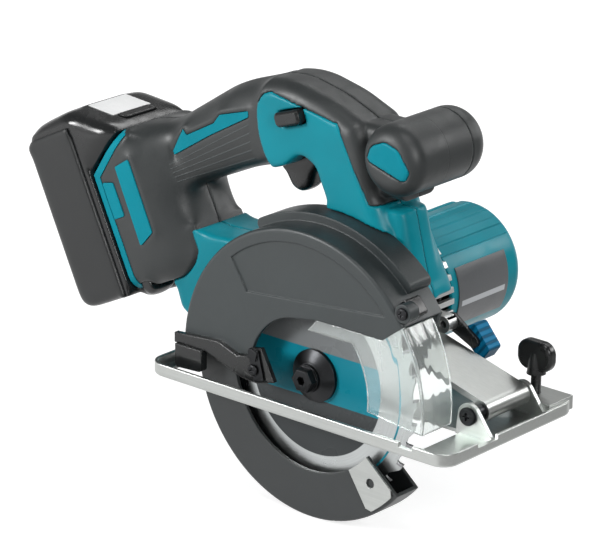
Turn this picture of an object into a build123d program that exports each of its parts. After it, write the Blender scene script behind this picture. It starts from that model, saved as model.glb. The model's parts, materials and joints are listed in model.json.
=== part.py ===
"""Cordless metal-cutting circular saw, built from its separate pieces.

+X is the cutting direction, +Y runs from the blade to the motor and +Z is up. The origin lies on the
underside of the base, below the spindle, in the plane where the two handle shells meet.
"""

import os
from math import acos, atan2, cos, degrees, hypot, pi, radians, sin

from build123d import *

os.makedirs("parts", exist_ok=True)

# Fits
FIT = 0.03  # radial play of a shaft in its bearing
SEAT = 0.02  # radial play of a piece pressed on its seat
GAP = 0.35  # free gap between pieces that move past each other
WALL = 2.5  # wall of the moulded shells

# Blade and spindle
BLADE_RADIUS = 75.0
BLADE_THICKNESS = 1.4
BLADE_Y = -35.0  # middle of the blade's thickness
BLADE_BORE = 20.0
TOOTH_COUNT = 32
TOOTH_HEIGHT = 4.2
GULLET_WIDTH = 5.6
SPINDLE_HEIGHT = 17.5
SPINDLE_RADIUS = 6.0
FLANGE_RADIUS = 15.7
FLANGE_THICKNESS = 4.6
OUTER_FLANGE_DEPTH = 6.5
OUTER_FLANGE_NOSE = 8.6
BOLT_FLATS = 13.0
BOLT_HEAD = 5.4
BOLT_COLLAR = 8.0
BOLT_SHANK = 4.0
BOLT_LENGTH = 22.0
BOLT_SOCKET = 5.0

# Gear train, from the motor through a countershaft to the spindle
MOTOR_X = -4.7
MOTOR_HEIGHT = 48.6
FINE_MODULE = 0.8
COARSE_MODULE = 1.0
PINION_TEETH = 10
COUNTER_TEETH = 28
COUNTER_PINION_TEETH = 12
SPINDLE_TEETH = 26
BACKLASH = 0.22
GEAR_WIDTH = 7.0
COARSE_Y = -8.0  # blade side of the coarse pair
FINE_Y = 2.5  # blade side of the fine pair
COUNTER_RADIUS = 4.0
ROTOR_SHAFT_RADIUS = 4.0
SPINDLE_TAIL_RADIUS = 4.0

# Bearings: outer radius and width
SPINDLE_BEARING = 12.0
SPINDLE_BEARING_WIDTH = 6.0
TAIL_BEARING = 9.0
BEARING_WIDTH = 6.0
BEARING_Y = 12.5  # blade side of the bearings behind the gears

# Gear housing and motor
GEARCASE_NEAR = -15.0
GEARCASE_FAR = 22.8
GEARCASE_SPINDLE_WALL = 16.4
GEARCASE_COUNTER_WALL = 15.5
GEARCASE_MOTOR_WALL = 24.0
NOSE_RADIUS = 15.0
NOSE_LENGTH = 11.5
FAN_RING_RADIUS = 38.0
FAN_RING_WALL = 3.2
FAN_RADIUS = 34.0
FAN_BLADES = 11
FAN_Y = 30.0
FAN_WIDTH = 11.0
VENT_COUNT = 6
VENT_PITCH = 7.0
VENT_HEIGHT = 3.9
VENT_MIDDLE = 55.0
MOTOR_NEAR = 48.0
MOTOR_FAR = 116.0
MOTOR_RADIUS = 36.5
MOTOR_END_ROUND = 8.0
FLUTE_COUNT = 4
FLUTE_START = 46.0
FLUTE_STEP = 20.0
FLUTE_WIDTH = 6.6
FLUTE_DEPTH = 1.3
INLET_COUNT = 9
STATOR_INNER = 20.0
ROTOR_RADIUS = 19.3
STACK_NEAR = 60.0
STACK_LENGTH = 34.0
PLATE_THICKNESS = 0.8

# Blade case and clear cover
CASE_RADIUS = 90.0
CASE_NEAR = -50.0
CASE_FRONT_ANGLE = 34.4
CASE_REAR_ANGLE = 184.0
CASE_SILL = 57.5  # height of the case's lower edge in front of the spindle
CASE_ROUND = 2.2
ARBOR_CUT_RADIUS = 37.5
HUMP_RISE = 5.4
HUMP_RADIUS = CASE_RADIUS + HUMP_RISE
HUMP_END_ROUND = 4.0
HUMP_NEAR = -33.0
HUMP_ANGLES = (45.0, 121.0)
PANEL_BORDER = 8.0
PANEL_EDGE = ((-41.0, 61.9), (75.0, 73.0), (120.0, 140.0), (-92.0, 140.0))
PANEL_DEPTH = 0.9
COVER_INNER = 50.0
COVER_WALL = 2.0
COVER_FAR = -24.0
COVER_LOW_ANGLE = -6.0

# Lower guard
GUARD_RADIUS = 86.0
GUARD_WALL = 2.0
GUARD_NEAR = -41.8
GUARD_FAR = -22.4
GUARD_MOUTH = 57.0
GUARD_FRONT_ANGLE = -40.0
GUARD_REAR_ANGLE = -196.0
GUARD_HUB_WALL = 3.2
GUARD_HUB_LENGTH = 4.2
TIP_SWEEP = 17.0
TIP_THICKNESS = 1.2

# Base, hinge and depth guide
BASE_REAR = -105.0
BASE_FRONT = 119.0
BASE_NEAR = -65.2
BASE_FAR = 54.3
BASE_THICKNESS = 2.0
RIM_HEIGHT = 8.1
RIM_WALL = 2.2
BASE_CORNER = 11.0
SLOT_REAR = -97.0
SLOT_FRONT = 92.0
SLOT_NEAR = -56.0
SLOT_FAR = -16.0
WINDOW_REAR = -38.0
WINDOW_FRONT = 46.0
WINDOW_FAR = 50.0
HINGE_X = 98.0
HINGE_Z = 13.5
HINGE_PIN_RADIUS = 3.0
BARREL_RADIUS = 6.5
BARREL_NEAR = -9.0
BARREL_FAR = 29.0
EAR_NEAR = -19.4
EAR_FAR = 29.4
EAR_THICKNESS = 2.4
EAR_RADIUS = 7.5
EAR_FOOT = 26.0
ARM_THICKNESS = 3.6
ARM_SEAT_X = 36.0
ARM_SEAT_TOP = 36.0
ARM_SEAT_BOTTOM = 22.0
GUIDE_REACH = 160.0  # from the hinge to the middle of the depth guide's slot
GUIDE_WIDTH = 15.0
GUIDE_THICKNESS = 2.0
GUIDE_Y = 23.0
GUIDE_SLOT = 6.4
DEPTH_TRAVEL = 18.0
GUIDE_END = 4.0
GUIDE_FOOT_ANGLE = 3.4
GUIDE_FOOT = 10.0
NOTCH_DEPTH = 2.6
NOTCH_NEAR = -37.0
NOTCH_FAR = -19.0
SIGHT_X = 90.0
SIGHT_WIDTH = 10.0
CLAMP_ANGLE = 1.0
CLAMP_LUG_RADIUS = 7.0
LUG_NEAR = 25.4
LUG_FAR = 33.0
LEVER_LENGTH = 44.0
LEVER_HUB = 8.0
LEVER_RISE = 14.0
WING_X = BASE_FRONT - 20.5
WING_Y = 42.0
WING_STEM_RADIUS = 3.0
BRACKET_LENGTH = 24.0
BRACKET_WIDTH = 22.0

# Handle
SHELL_HALF = 22.5  # half width of the column and its panels
GRIP_HALF = 19.5
GRIP_ROUND = 12.5
GRIP_SLOPE = 0.55
GRIP_LOW_LINE = 178.0
GRIP_HIGH_LINE = 194.0
CAP_ROUND = 11.0

# Battery frame: u runs forward across the battery, w runs up along it
TILT = 26.0
SEAT_U = -117.0
SEAT_STRIP = 4.2
REAR_HALF = 33.0
REAR_LOW = 92.0
REAR_HIGH = 186.0
REAR_FLAT_U = SEAT_U + 34.0
REAR_NECK_U = -62.0
REAR_ROUND = 11.0
REAR_SHOULDER = 12.0
BEVEL_W = 166.0
BEVEL_TOP = (SEAT_U + 31.0, 185.5)
PACK_BACK_U = SEAT_U - 45.0
PACK_HALF = 37.5
PACK_LOW = 91.0
PACK_SHOULDER = 198.5
PACK_RIDGE = (SEAT_U - 5.0, 208.0)
PACK_NOSE = (SEAT_U + 20.0, 193.0)
PACK_SPLIT_U = SEAT_U - 5.5
PACK_ROUND = 9.0
PACK_EDGE = 2.4
RAIL_HALF = 30.0
RAIL_LIP = 3.0
RAIL_DEPTH = 12.5
RAIL_LIP_DEPTH = 4.5
RAIL_LOW = 86.0
RAIL_HIGH = 158.0
TERMINAL_HALF = 16.0
BLADE_CONTACTS = (-8.0, 8.0)

# Front grip
GRIP_X = 44.0
GRIP_Z = 152.0
GRIP_RADIUS = 21.0
GRIP_NEAR = -30.0
GRIP_FAR = 39.0
GRIP_CAP_Y = 22.0
NECK_HALF = 15.0

# Controls
TRIGGER_HALF = 8.0
TRIGGER_TRAVEL = 6.0
SWITCH_HALF = 11.0
LOCK_X = -31.7
LOCK_Z = 161.7
LOCK_LENGTH = 19.0
LOCK_HEIGHT = 8.6
LOCK_PROUD = 5.5
LOCK_TRAVEL = 4.0
LOCK_TILT = 18.0
SHAFT_LOCK_X = 43.0
SHAFT_LOCK_Z = 42.0
LOCK_PIN = 2.5
PAD_SEAT = (59.0, 33.0)

# Motor plate
PLATE_NEAR = 54.0
PLATE_FAR = 100.0
PLATE_ANGLES = (-32.0, 27.0)

# Details of the case and guard
BACK_SILL = 9.0
COVER_BOSS_DROP = -4.7
COVER_BOSS_ANGLE = 38.56
BOSS_RADIUS = 5.5
BOSS_LENGTH = 8.0
SMALL_SCREW = 1.8  # radius of the thread of the small screws
COVER_TOP_ANGLE = 40.7
COVER_TAIL = (5.5, 50.0)
CLIP_NEAR = -41.0
CLIP_FAR = -29.0
CLIP_HEIGHT = 3.6
CLIP_ANGLES = (36.0, 43.0)
SKIRT = (
    (-CASE_RADIUS - 4.0, 25.0),
    (-60.0, 27.5),
    (-45.4, 22.6),
    (-36.0, 24.6),
    (-36.0, 29.5),
    (-27.0, 31.5),
    (-17.0, 13.0),
    (-29.9, 9.4),
    (-41.5, 10.1),
    (-69.5, 19.0),
    (-CASE_RADIUS - 4.0, 19.0),
)
SKIRT_THICKNESS = 3.2
SKIRT_SCREW = (-31.5, 17.6)
SKIRT_PLATE = ((-36.0, 29.2), (-28.5, 31.0), (-23.5, 12.6), (-31.5, 10.4))
SKIRT_PLATE_THICKNESS = 1.2
FOOT_BACK = -CASE_RADIUS - 2.0
FOOT_BLOCK = ((FOOT_BACK, 19.0), (FOOT_BACK, 4.5), (FOOT_BACK + 20.5, 5.8), (FOOT_BACK + 20.5, 19.0))
FOOT_WIDTH = 5.0
TIP_RIVET_RADIUS = 70.0
TIP_HOLE = 2.9
CIRCLIP_WIDTH = 3.0
CIRCLIP_THICKNESS = 0.9
SPRING_WIRE = 1.2

# Outlines of the handle, in X and Z
OPENING = (
    (-47.0, 127.5),
    (-38.0, 131.0),
    (-26.0, 141.0),
    (-15.0, 136.0),
    (-6.0, 117.0),
    (-3.0, 105.0),
    (-3.0, 92.0),
    (-14.0, 80.0),
    (-95.0, 76.5),
    (-107.0, 77.5),
)
OPENING_ROUNDS = (5.0, 6.0, 6.0, 12.0, 12.0, 9.0, 9.0, 6.0)
BODY_UNDERSIDE = (
    (-107.0, 77.5),
    (-124.0, 60.0),
    (-123.0, 40.0),
    (-118.0, 26.0),
    (-112.0, 22.0),
    (-30.0, 22.0),
    (-30.0, 40.0),
    (12.0, 40.0),
    (12.0, 68.0),
    (57.0, 68.0),
    (56.1, 71.9),
)
HANDLE_TOP = (
    (-54.0, 178.8),
    (-38.0, 182.0),
    (-8.0, 175.2),
    (16.0, 165.5),
    (23.5, 147.0),
    (27.9, 126.1),
)
HANDLE_TOP_ROUNDS = (60.0, 80.0, 14.0, 60.0)
COLUMN_FRONT = ((27.9, 126.1), (31.4, 119.0), (56.1, 71.9))
BORDER_MIDDLE = (-58.5, 158.0)
CAP_LINE = (
    (-62.0, 158.0),
    (-57.2, 165.5),
    (-54.0, 170.8),
    (-48.6, 173.2),
    (1.6, 164.0),
    (24.5, 120.6),
    (45.0, 121.6),
)
FRONT_BLOCK = ((30.0, 118.6), (42.3, 118.6), (54.6, 71.9), (50.0, 71.9))
BLOCK_HALF = 13.0
BLOCK_SLOPE = 4.0
NECK_MIDDLE = 145.5
NECK_HEIGHT = 41.0
NECK_BACK = 8.0
GRIP_LINE_ROUND = 90.0
GRIP_TOP = ((-150.0, 128.0), (-130.0, 139.2), (-87.0, 167.5), (-54.0, 178.8))
GRIP_UNDERSIDE = ((-47.0, 127.5), (-75.0, 118.5), (-112.0, 101.5), (-128.0, 93.0))
INLAY = (
    (-126.0, 121.0),
    (-118.6, 135.6),
    (-115.5, 132.8),
    (-94.1, 144.5),
    (-89.5, 150.5),
    (-67.5, 157.1),
    (-67.5, 153.5),
    (-96.7, 136.9),
    (-125.0, 119.0),
)
INLAY_DEPTH = 4.0
SIDE_PANEL = ((-97.4, 166.4), (-85.0, 168.0), (-85.5, 122.5), (-98.3, 117.1))
SIDE_TAB = ((-112.0, 137.0), (-112.0, 160.0), (-103.5, 158.0), (-103.5, 137.0))
PANEL_INSET = 1.0
PANEL_ROUND = 1.0
PANEL_PROUD = 0.4
TRIGGER = (
    (-24.0, 146.0),
    (-24.0, 130.0),
    (-29.5, 124.0),
    (-31.0, 115.0),
    (-38.5, 110.8),
    (-45.5, 113.0),
    (-52.0, 125.0),
    (-52.0, 146.0),
)
TRIGGER_ROUNDS = (0.5, 3.0, 5.0, 3.5, 3.5, 4.0, 5.0, 0.5)
TRIGGER_SLOT_BACK = TRIGGER[-1][0] - TRIGGER_TRAVEL - 1.0
TRIGGER_SLOT_FRONT = TRIGGER[0][0] + 1.5
TRIGGER_SLOT = (
    (TRIGGER_SLOT_FRONT, 148.0),
    (TRIGGER_SLOT_FRONT, 118.0),
    (TRIGGER_SLOT_BACK, 118.0),
    (TRIGGER_SLOT_BACK, 148.0),
)
SWITCH_BOX = ((-50.0, 148.0), (-12.0, 148.0), (-12.0, 163.0), (-50.0, 163.0))
CONTROLLER_BOX = ((-96.0, 34.0), (-44.0, 34.0), (-44.0, 60.0), (-96.0, 60.0))
CONTROLLER_HALF = 12.0
SHELL_SCREWS = ((-38.0, 168.0), (-8.0, 152.0), (4.0, 84.0), (40.0, 78.0), (-28.0, 68.0), (-86.0, 68.0))
GRIP_SCREWS = ((-64.0, 134.0), (-92.0, 122.0))
SCREW_HEAD = 3.4
SCREW_SINK = 4.0
SCREW_REACH = 10.0
WING_HEIGHT = 18.0
WING_WIDTH = 24.0
WING_THICKNESS = 7.0
WING_LIFT = 33.0
ARM_SCREW_Y = (-2.0, 14.0)
ARM_SCREW_Z = 27.5
PAD_OUTLINE = ((51.0, 40.0), (58.0, 43.5), (69.5, 30.0), (63.5, 21.5), (53.0, 31.0))
PAD_WIDTH = 12.0
LEVER_THICKNESS = 2.4
LEVER_LUG = (30.0, 42.0)
BUTTON_START = 24.5
BUTTON_LENGTH = 6.0
BUTTON_HALF = 13.0
BUTTON_SINK = 5.0
BUTTON_TRAVEL = 2.5
LABEL_LENGTH = 22.5
LABEL_HALF = 16.0
LABEL_THICKNESS = 0.5

# Details of the handle and battery
REAR_NECK_HALF = 21.0
NECK_LOW = 96.0
NECK_HIGH = 181.0
NECK_ROUND = 6.0
TERMINAL_W = 128.0
TERMINAL_LENGTH = 34.0
TERMINAL_DEPTH = 5.0
CONTACT_THICKNESS = 1.4
CONTACT_DEPTH = 6.5
CAP_BITE = 6.0
CAP_INSET = 2.2
CAP_DROP = 3.0
PACK_FRONT_U = SEAT_U - 1.4
GRIP_END_ROUND = 11.0
GRIP_DOME = 13.0
INSET = ((28.8, 151.2), (31.8, 159.5), (42.0, 164.0), (52.4, 161.0), (59.2, 149.6), (56.2, 143.2))
INSET_ROUNDS = (2.0, 6.0, 7.0, 7.0, 4.0, 2.5)
INSET_DEPTH = 4.0

SPINDLE = (0.0, SPINDLE_HEIGHT)
MOTOR = (MOTOR_X, MOTOR_HEIGHT)
HINGE = (HINGE_X, HINGE_Z)
BLADE_NEAR = BLADE_Y - BLADE_THICKNESS / 2
BLADE_FAR = BLADE_Y + BLADE_THICKNESS / 2


def countershaft_place():
    """Where the countershaft meshes with both its neighbours, in X and Z."""
    near = COARSE_MODULE * (SPINDLE_TEETH + COUNTER_PINION_TEETH) / 2
    far = FINE_MODULE * (PINION_TEETH + COUNTER_TEETH) / 2
    span = hypot(MOTOR[0] - SPINDLE[0], MOTOR[1] - SPINDLE[1])
    line = atan2(MOTOR[1] - SPINDLE[1], MOTOR[0] - SPINDLE[0])
    turn = line - acos((near**2 + span**2 - far**2) / (2 * near * span))
    return (SPINDLE[0] + near * cos(turn), SPINDLE[1] + near * sin(turn))


COUNTER = countershaft_place()


def side_plane(y, centre=(0.0, 0.0)):
    """A plane across the saw at y, with local axes X and Z. Extruding goes towards the blade side."""
    return Plane(origin=(centre[0], y, centre[1]), x_dir=(1, 0, 0), z_dir=(0, -1, 0))


def pack_plane(y):
    """A plane across the battery at y, with local axes u and w. Extruding goes towards the blade side."""
    lean = radians(TILT)
    return Plane(origin=(0, y, 0), x_dir=(cos(lean), 0, sin(lean)), z_dir=(0, -1, 0))


def pack_section(u):
    """A section of the battery seat at u, with local axes Y and w. Extruding goes forward."""
    lean = radians(TILT)
    forward = (cos(lean), 0, sin(lean))
    return Plane(origin=(u * cos(lean), 0, u * sin(lean)), x_dir=(0, 1, 0), z_dir=forward)


def ridge_plane():
    """The slope on top of the battery, with local axes down the slope and Y. Extruding goes outward."""
    crest = pack_plane(0).from_local_coords(Vector(PACK_RIDGE[0], PACK_RIDGE[1]))
    toe = pack_plane(0).from_local_coords(Vector(PACK_NOSE[0], PACK_NOSE[1]))
    down = (toe - crest).normalized()
    return Plane(origin=crest, x_dir=down, z_dir=down.cross(Vector(0, 1, 0)))


def keep(name, builder):
    """Labels a finished piece and writes its STEP file."""
    builder.part.label = name
    export_step(builder.part, f"parts/{name}.step")


def polar(radius, angle):
    """A point on a circle about the local origin."""
    return (radius * cos(radians(angle)), radius * sin(radians(angle)))


def bearing_angle(start, end):
    """The direction from one shaft to another, in degrees."""
    return degrees(atan2(end[1] - start[1], end[0] - start[0]))


def ring_sector(inner, outer, start, end):
    """Adds the part of a flat ring between two angles to the sketch in progress."""
    with BuildLine() as outline:
        rim = CenterArc((0, 0), outer, start, end - start)
        hollow = CenterArc((0, 0), inner, end, start - end)
        Line(rim @ 1, hollow @ 0)
        Line(hollow @ 1, rim @ 0)
    make_face(outline.edges())


def rounded_face(points, radius, mode=Mode.ADD):
    """Adds a polygon with rounded corners to the sketch in progress."""
    with BuildLine() as outline:
        FilletPolyline(*points, radius=radius, close=True)
    make_face(outline.edges(), mode=mode)


def gear_face(teeth, module, phase):
    """Adds a spur gear's outline to the sketch in progress, with one tooth centred at the phase angle."""
    pitch = teeth * module / 2
    root = pitch - 1.2 * module
    height = 2.0 * module
    root_half = 1.0 * module - BACKLASH / 2
    tip_half = 0.42 * module - BACKLASH / 4
    bite = 0.3 * module
    Circle(root)
    with PolarLocations(root, teeth, start_angle=phase):
        tooth = ((-bite, -root_half), (height, -tip_half), (height, tip_half), (-bite, root_half))
        Polygon(*tooth, align=None)


def ball_bearing(centre, y, bore, outer, width):
    """Makes a ball bearing as one ring with its two seal grooves."""
    with BuildPart() as bearing:
        with BuildSketch(side_plane(y + width, centre)):
            Circle(outer - SEAT)
            Circle(bore + FIT, mode=Mode.SUBTRACT)
        extrude(amount=width)
        groove = (outer - bore) / 3
        for face in (y + width, y + groove / 4):
            with BuildSketch(side_plane(face, centre)):
                Circle(outer - groove)
                Circle(bore + groove, mode=Mode.SUBTRACT)
            extrude(amount=groove / 4, mode=Mode.SUBTRACT)
    return bearing.part


def cross_screw(centre, face, reach):
    """Makes a small round-headed screw across the saw, with its head on the blade side of a face."""
    with BuildPart() as screw:
        with BuildSketch(side_plane(face, centre)):
            Circle(2 * SMALL_SCREW)
        extrude(amount=SMALL_SCREW)
        fillet(screw.faces().sort_by(Axis.Y)[0].edges(), SMALL_SCREW * 0.6)
        with BuildSketch(side_plane(face - SMALL_SCREW, centre)):
            Rectangle(SMALL_SCREW * 2, SMALL_SCREW * 0.4)
            Rectangle(SMALL_SCREW * 0.4, SMALL_SCREW * 2)
        extrude(amount=-SMALL_SCREW * 0.6, mode=Mode.SUBTRACT)
        with BuildSketch(side_plane(face + reach, centre)):
            Circle(SMALL_SCREW)
        extrude(amount=reach)
    return screw.part


# Saw blade
with BuildPart() as saw_blade:
    with BuildSketch(side_plane(BLADE_FAR, SPINDLE)):
        Circle(BLADE_RADIUS - TOOTH_HEIGHT)
        with PolarLocations(BLADE_RADIUS - TOOTH_HEIGHT, TOOTH_COUNT):
            tooth_land = 2 * pi * BLADE_RADIUS / TOOTH_COUNT - GULLET_WIDTH
            tooth = (
                (-TOOTH_HEIGHT / 2, -GULLET_WIDTH - tooth_land / 2),
                (TOOTH_HEIGHT, 0.0),
                (TOOTH_HEIGHT * 0.93, tooth_land * 0.45),
                (-TOOTH_HEIGHT / 2, tooth_land * 0.35),
            )
            Polygon(*tooth, align=None)
        Circle(BLADE_BORE / 2, mode=Mode.SUBTRACT)
    extrude(amount=BLADE_THICKNESS)
keep("saw_blade", saw_blade)

# Inner flange, with the boss that centres the blade
with BuildPart() as inner_flange:
    with BuildSketch(side_plane(BLADE_FAR + FLANGE_THICKNESS, SPINDLE)):
        Circle(FLANGE_RADIUS)
    extrude(amount=FLANGE_THICKNESS)
    with BuildSketch(side_plane(BLADE_FAR, SPINDLE)):
        Circle(BLADE_BORE / 2 - SEAT)
    extrude(amount=BLADE_THICKNESS * 0.8)
    with BuildSketch(side_plane(BLADE_FAR + FLANGE_THICKNESS, SPINDLE)):
        Circle(SPINDLE_RADIUS + SEAT)
    extrude(amount=FLANGE_THICKNESS + BLADE_THICKNESS, mode=Mode.SUBTRACT)
keep("inner_flange", inner_flange)

# Outer flange, a dished washer that the bolt clamps on the blade
FLANGE_FACE = BLADE_NEAR - OUTER_FLANGE_DEPTH
with BuildPart() as outer_flange:
    with BuildSketch(Plane(origin=(0, 0, SPINDLE_HEIGHT), x_dir=(0, 1, 0), z_dir=(1, 0, 0))):
        with BuildLine():
            Polyline(
                (BLADE_NEAR, BOLT_SHANK + FIT),
                (BLADE_NEAR, FLANGE_RADIUS),
                (BLADE_NEAR - 2.2, FLANGE_RADIUS),
                (FLANGE_FACE + 1.0, OUTER_FLANGE_NOSE + 1.4),
                (FLANGE_FACE, OUTER_FLANGE_NOSE),
                (FLANGE_FACE, BOLT_SHANK + FIT),
                close=True,
            )
        make_face()
    revolve(axis=Axis((0, 0, SPINDLE_HEIGHT), (0, 1, 0)))
keep("outer_flange", outer_flange)

# Blade bolt with a hexagon head and a socket in it
with BuildPart() as blade_bolt:
    with BuildSketch(side_plane(FLANGE_FACE, SPINDLE)):
        Circle(BOLT_COLLAR)
    extrude(amount=1.6)
    with BuildSketch(side_plane(FLANGE_FACE - 1.6, SPINDLE)):
        RegularPolygon(BOLT_FLATS / 2, 6, major_radius=False)
    extrude(amount=BOLT_HEAD)
    chamfer(blade_bolt.faces().sort_by(Axis.Y)[0].edges(), 0.7)
    with BuildSketch(side_plane(FLANGE_FACE - 1.6 - BOLT_HEAD, SPINDLE)):
        RegularPolygon(BOLT_SOCKET / 2, 6, major_radius=False)
    extrude(amount=-BOLT_HEAD * 0.7, mode=Mode.SUBTRACT)
    with BuildSketch(side_plane(FLANGE_FACE + BOLT_LENGTH, SPINDLE)):
        Circle(BOLT_SHANK)
    extrude(amount=BOLT_LENGTH)
keep("blade_bolt", blade_bolt)

# Spindle, with a tapped end for the bolt and a thinner tail
SPINDLE_END = BLADE_FAR + 1.0
with BuildPart() as spindle:
    with BuildSketch(side_plane(BEARING_Y, SPINDLE)):
        Circle(SPINDLE_RADIUS)
    extrude(amount=BEARING_Y - SPINDLE_END)
    with BuildSketch(side_plane(BEARING_Y + BEARING_WIDTH + 1.0, SPINDLE)):
        Circle(SPINDLE_TAIL_RADIUS)
    extrude(amount=BEARING_WIDTH + 1.0)
    with BuildSketch(side_plane(FLANGE_FACE + BOLT_LENGTH + 1.0, SPINDLE)):
        Circle(BOLT_SHANK + SEAT)
    extrude(amount=FLANGE_FACE + BOLT_LENGTH + 1.0 - SPINDLE_END, mode=Mode.SUBTRACT)
keep("spindle", spindle)

# Gears, each pair with a tooth of one in a gap of the other
counter_turn = bearing_angle(SPINDLE, COUNTER)
motor_turn = bearing_angle(COUNTER, MOTOR)
with BuildPart() as spindle_gear:
    with BuildSketch(side_plane(COARSE_Y + GEAR_WIDTH, SPINDLE)):
        gear_face(SPINDLE_TEETH, COARSE_MODULE, counter_turn)
        Circle(SPINDLE_RADIUS + SEAT, mode=Mode.SUBTRACT)
    extrude(amount=GEAR_WIDTH)
keep("spindle_gear", spindle_gear)

with BuildPart() as countershaft:
    with BuildSketch(side_plane(BEARING_Y + BEARING_WIDTH, COUNTER)):
        Circle(COUNTER_RADIUS)
    extrude(amount=BEARING_Y + BEARING_WIDTH - GEARCASE_NEAR - WALL)
    with BuildSketch(side_plane(COARSE_Y + GEAR_WIDTH, COUNTER)):
        gear_face(COUNTER_PINION_TEETH, COARSE_MODULE, counter_turn + 180 + 180 / COUNTER_PINION_TEETH)
    extrude(amount=GEAR_WIDTH)
keep("countershaft", countershaft)

with BuildPart() as countershaft_gear:
    with BuildSketch(side_plane(FINE_Y + GEAR_WIDTH, COUNTER)):
        gear_face(COUNTER_TEETH, FINE_MODULE, motor_turn)
        Circle(COUNTER_RADIUS + SEAT, mode=Mode.SUBTRACT)
    extrude(amount=GEAR_WIDTH)
keep("countershaft_gear", countershaft_gear)

# Rotor: shaft with its pinion, and the stack of magnets
REAR_BEARING_Y = MOTOR_FAR - WALL - BEARING_WIDTH - 2.0
with BuildPart() as rotor_shaft:
    with BuildSketch(side_plane(REAR_BEARING_Y + BEARING_WIDTH, MOTOR)):
        Circle(ROTOR_SHAFT_RADIUS)
    extrude(amount=REAR_BEARING_Y - BEARING_Y + BEARING_WIDTH)
    with BuildSketch(side_plane(BEARING_Y, MOTOR)):
        gear_face(PINION_TEETH, FINE_MODULE, motor_turn + 180 + 180 / PINION_TEETH)
    extrude(amount=BEARING_Y - FINE_Y)
keep("rotor_shaft", rotor_shaft)

with BuildPart() as rotor_stack:
    with BuildSketch(side_plane(STACK_NEAR + STACK_LENGTH, MOTOR)):
        Circle(ROTOR_RADIUS)
        Circle(ROTOR_SHAFT_RADIUS + SEAT, mode=Mode.SUBTRACT)
    extrude(amount=STACK_LENGTH)
keep("rotor_stack", rotor_stack)

with BuildPart() as cooling_fan:
    with BuildSketch(side_plane(FAN_Y + FAN_WIDTH, MOTOR)):
        Circle(FAN_RADIUS)
        Circle(ROTOR_SHAFT_RADIUS + SEAT, mode=Mode.SUBTRACT)
    extrude(amount=1.6)
    with BuildSketch(side_plane(FAN_Y + FAN_WIDTH, MOTOR)):
        Circle(ROTOR_SHAFT_RADIUS * 2)
        Circle(ROTOR_SHAFT_RADIUS + SEAT, mode=Mode.SUBTRACT)
    extrude(amount=FAN_WIDTH)
    with BuildSketch(side_plane(FAN_Y + FAN_WIDTH - 1.0, MOTOR)):
        with PolarLocations(FAN_RADIUS * 0.68, FAN_BLADES):
            Rectangle(FAN_RADIUS * 0.62, 1.6, rotation=28)
    extrude(amount=FAN_WIDTH - 1.0)
keep("cooling_fan", cooling_fan)

# Stator, with an end ring for the windings
with BuildPart() as stator:
    stator_outer = MOTOR_RADIUS - WALL - SEAT
    with BuildSketch(side_plane(STACK_NEAR + STACK_LENGTH, MOTOR)):
        Circle(stator_outer)
        Circle(STATOR_INNER, mode=Mode.SUBTRACT)
    extrude(amount=STACK_LENGTH)
    for winding in (STACK_NEAR, STACK_NEAR + STACK_LENGTH + 5.0):
        with BuildSketch(side_plane(winding, MOTOR)):
            Circle(stator_outer * 0.9)
            Circle(STATOR_INNER + 1.5, mode=Mode.SUBTRACT)
        extrude(amount=5.0)
keep("stator", stator)

# Bearings
NOSE_FACE = GEARCASE_NEAR - NOSE_LENGTH
SPINDLE_BEARING_Y = NOSE_FACE + 1.5
with BuildPart() as spindle_bearings:
    add(ball_bearing(SPINDLE, SPINDLE_BEARING_Y, SPINDLE_RADIUS, SPINDLE_BEARING, SPINDLE_BEARING_WIDTH))
    add(ball_bearing(SPINDLE, BEARING_Y, SPINDLE_TAIL_RADIUS, TAIL_BEARING, BEARING_WIDTH))
keep("spindle_bearings", spindle_bearings)

with BuildPart() as rotor_bearings:
    add(ball_bearing(MOTOR, BEARING_Y, ROTOR_SHAFT_RADIUS, TAIL_BEARING, BEARING_WIDTH))
    add(ball_bearing(MOTOR, REAR_BEARING_Y, ROTOR_SHAFT_RADIUS, TAIL_BEARING, BEARING_WIDTH))
keep("rotor_bearings", rotor_bearings)

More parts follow.
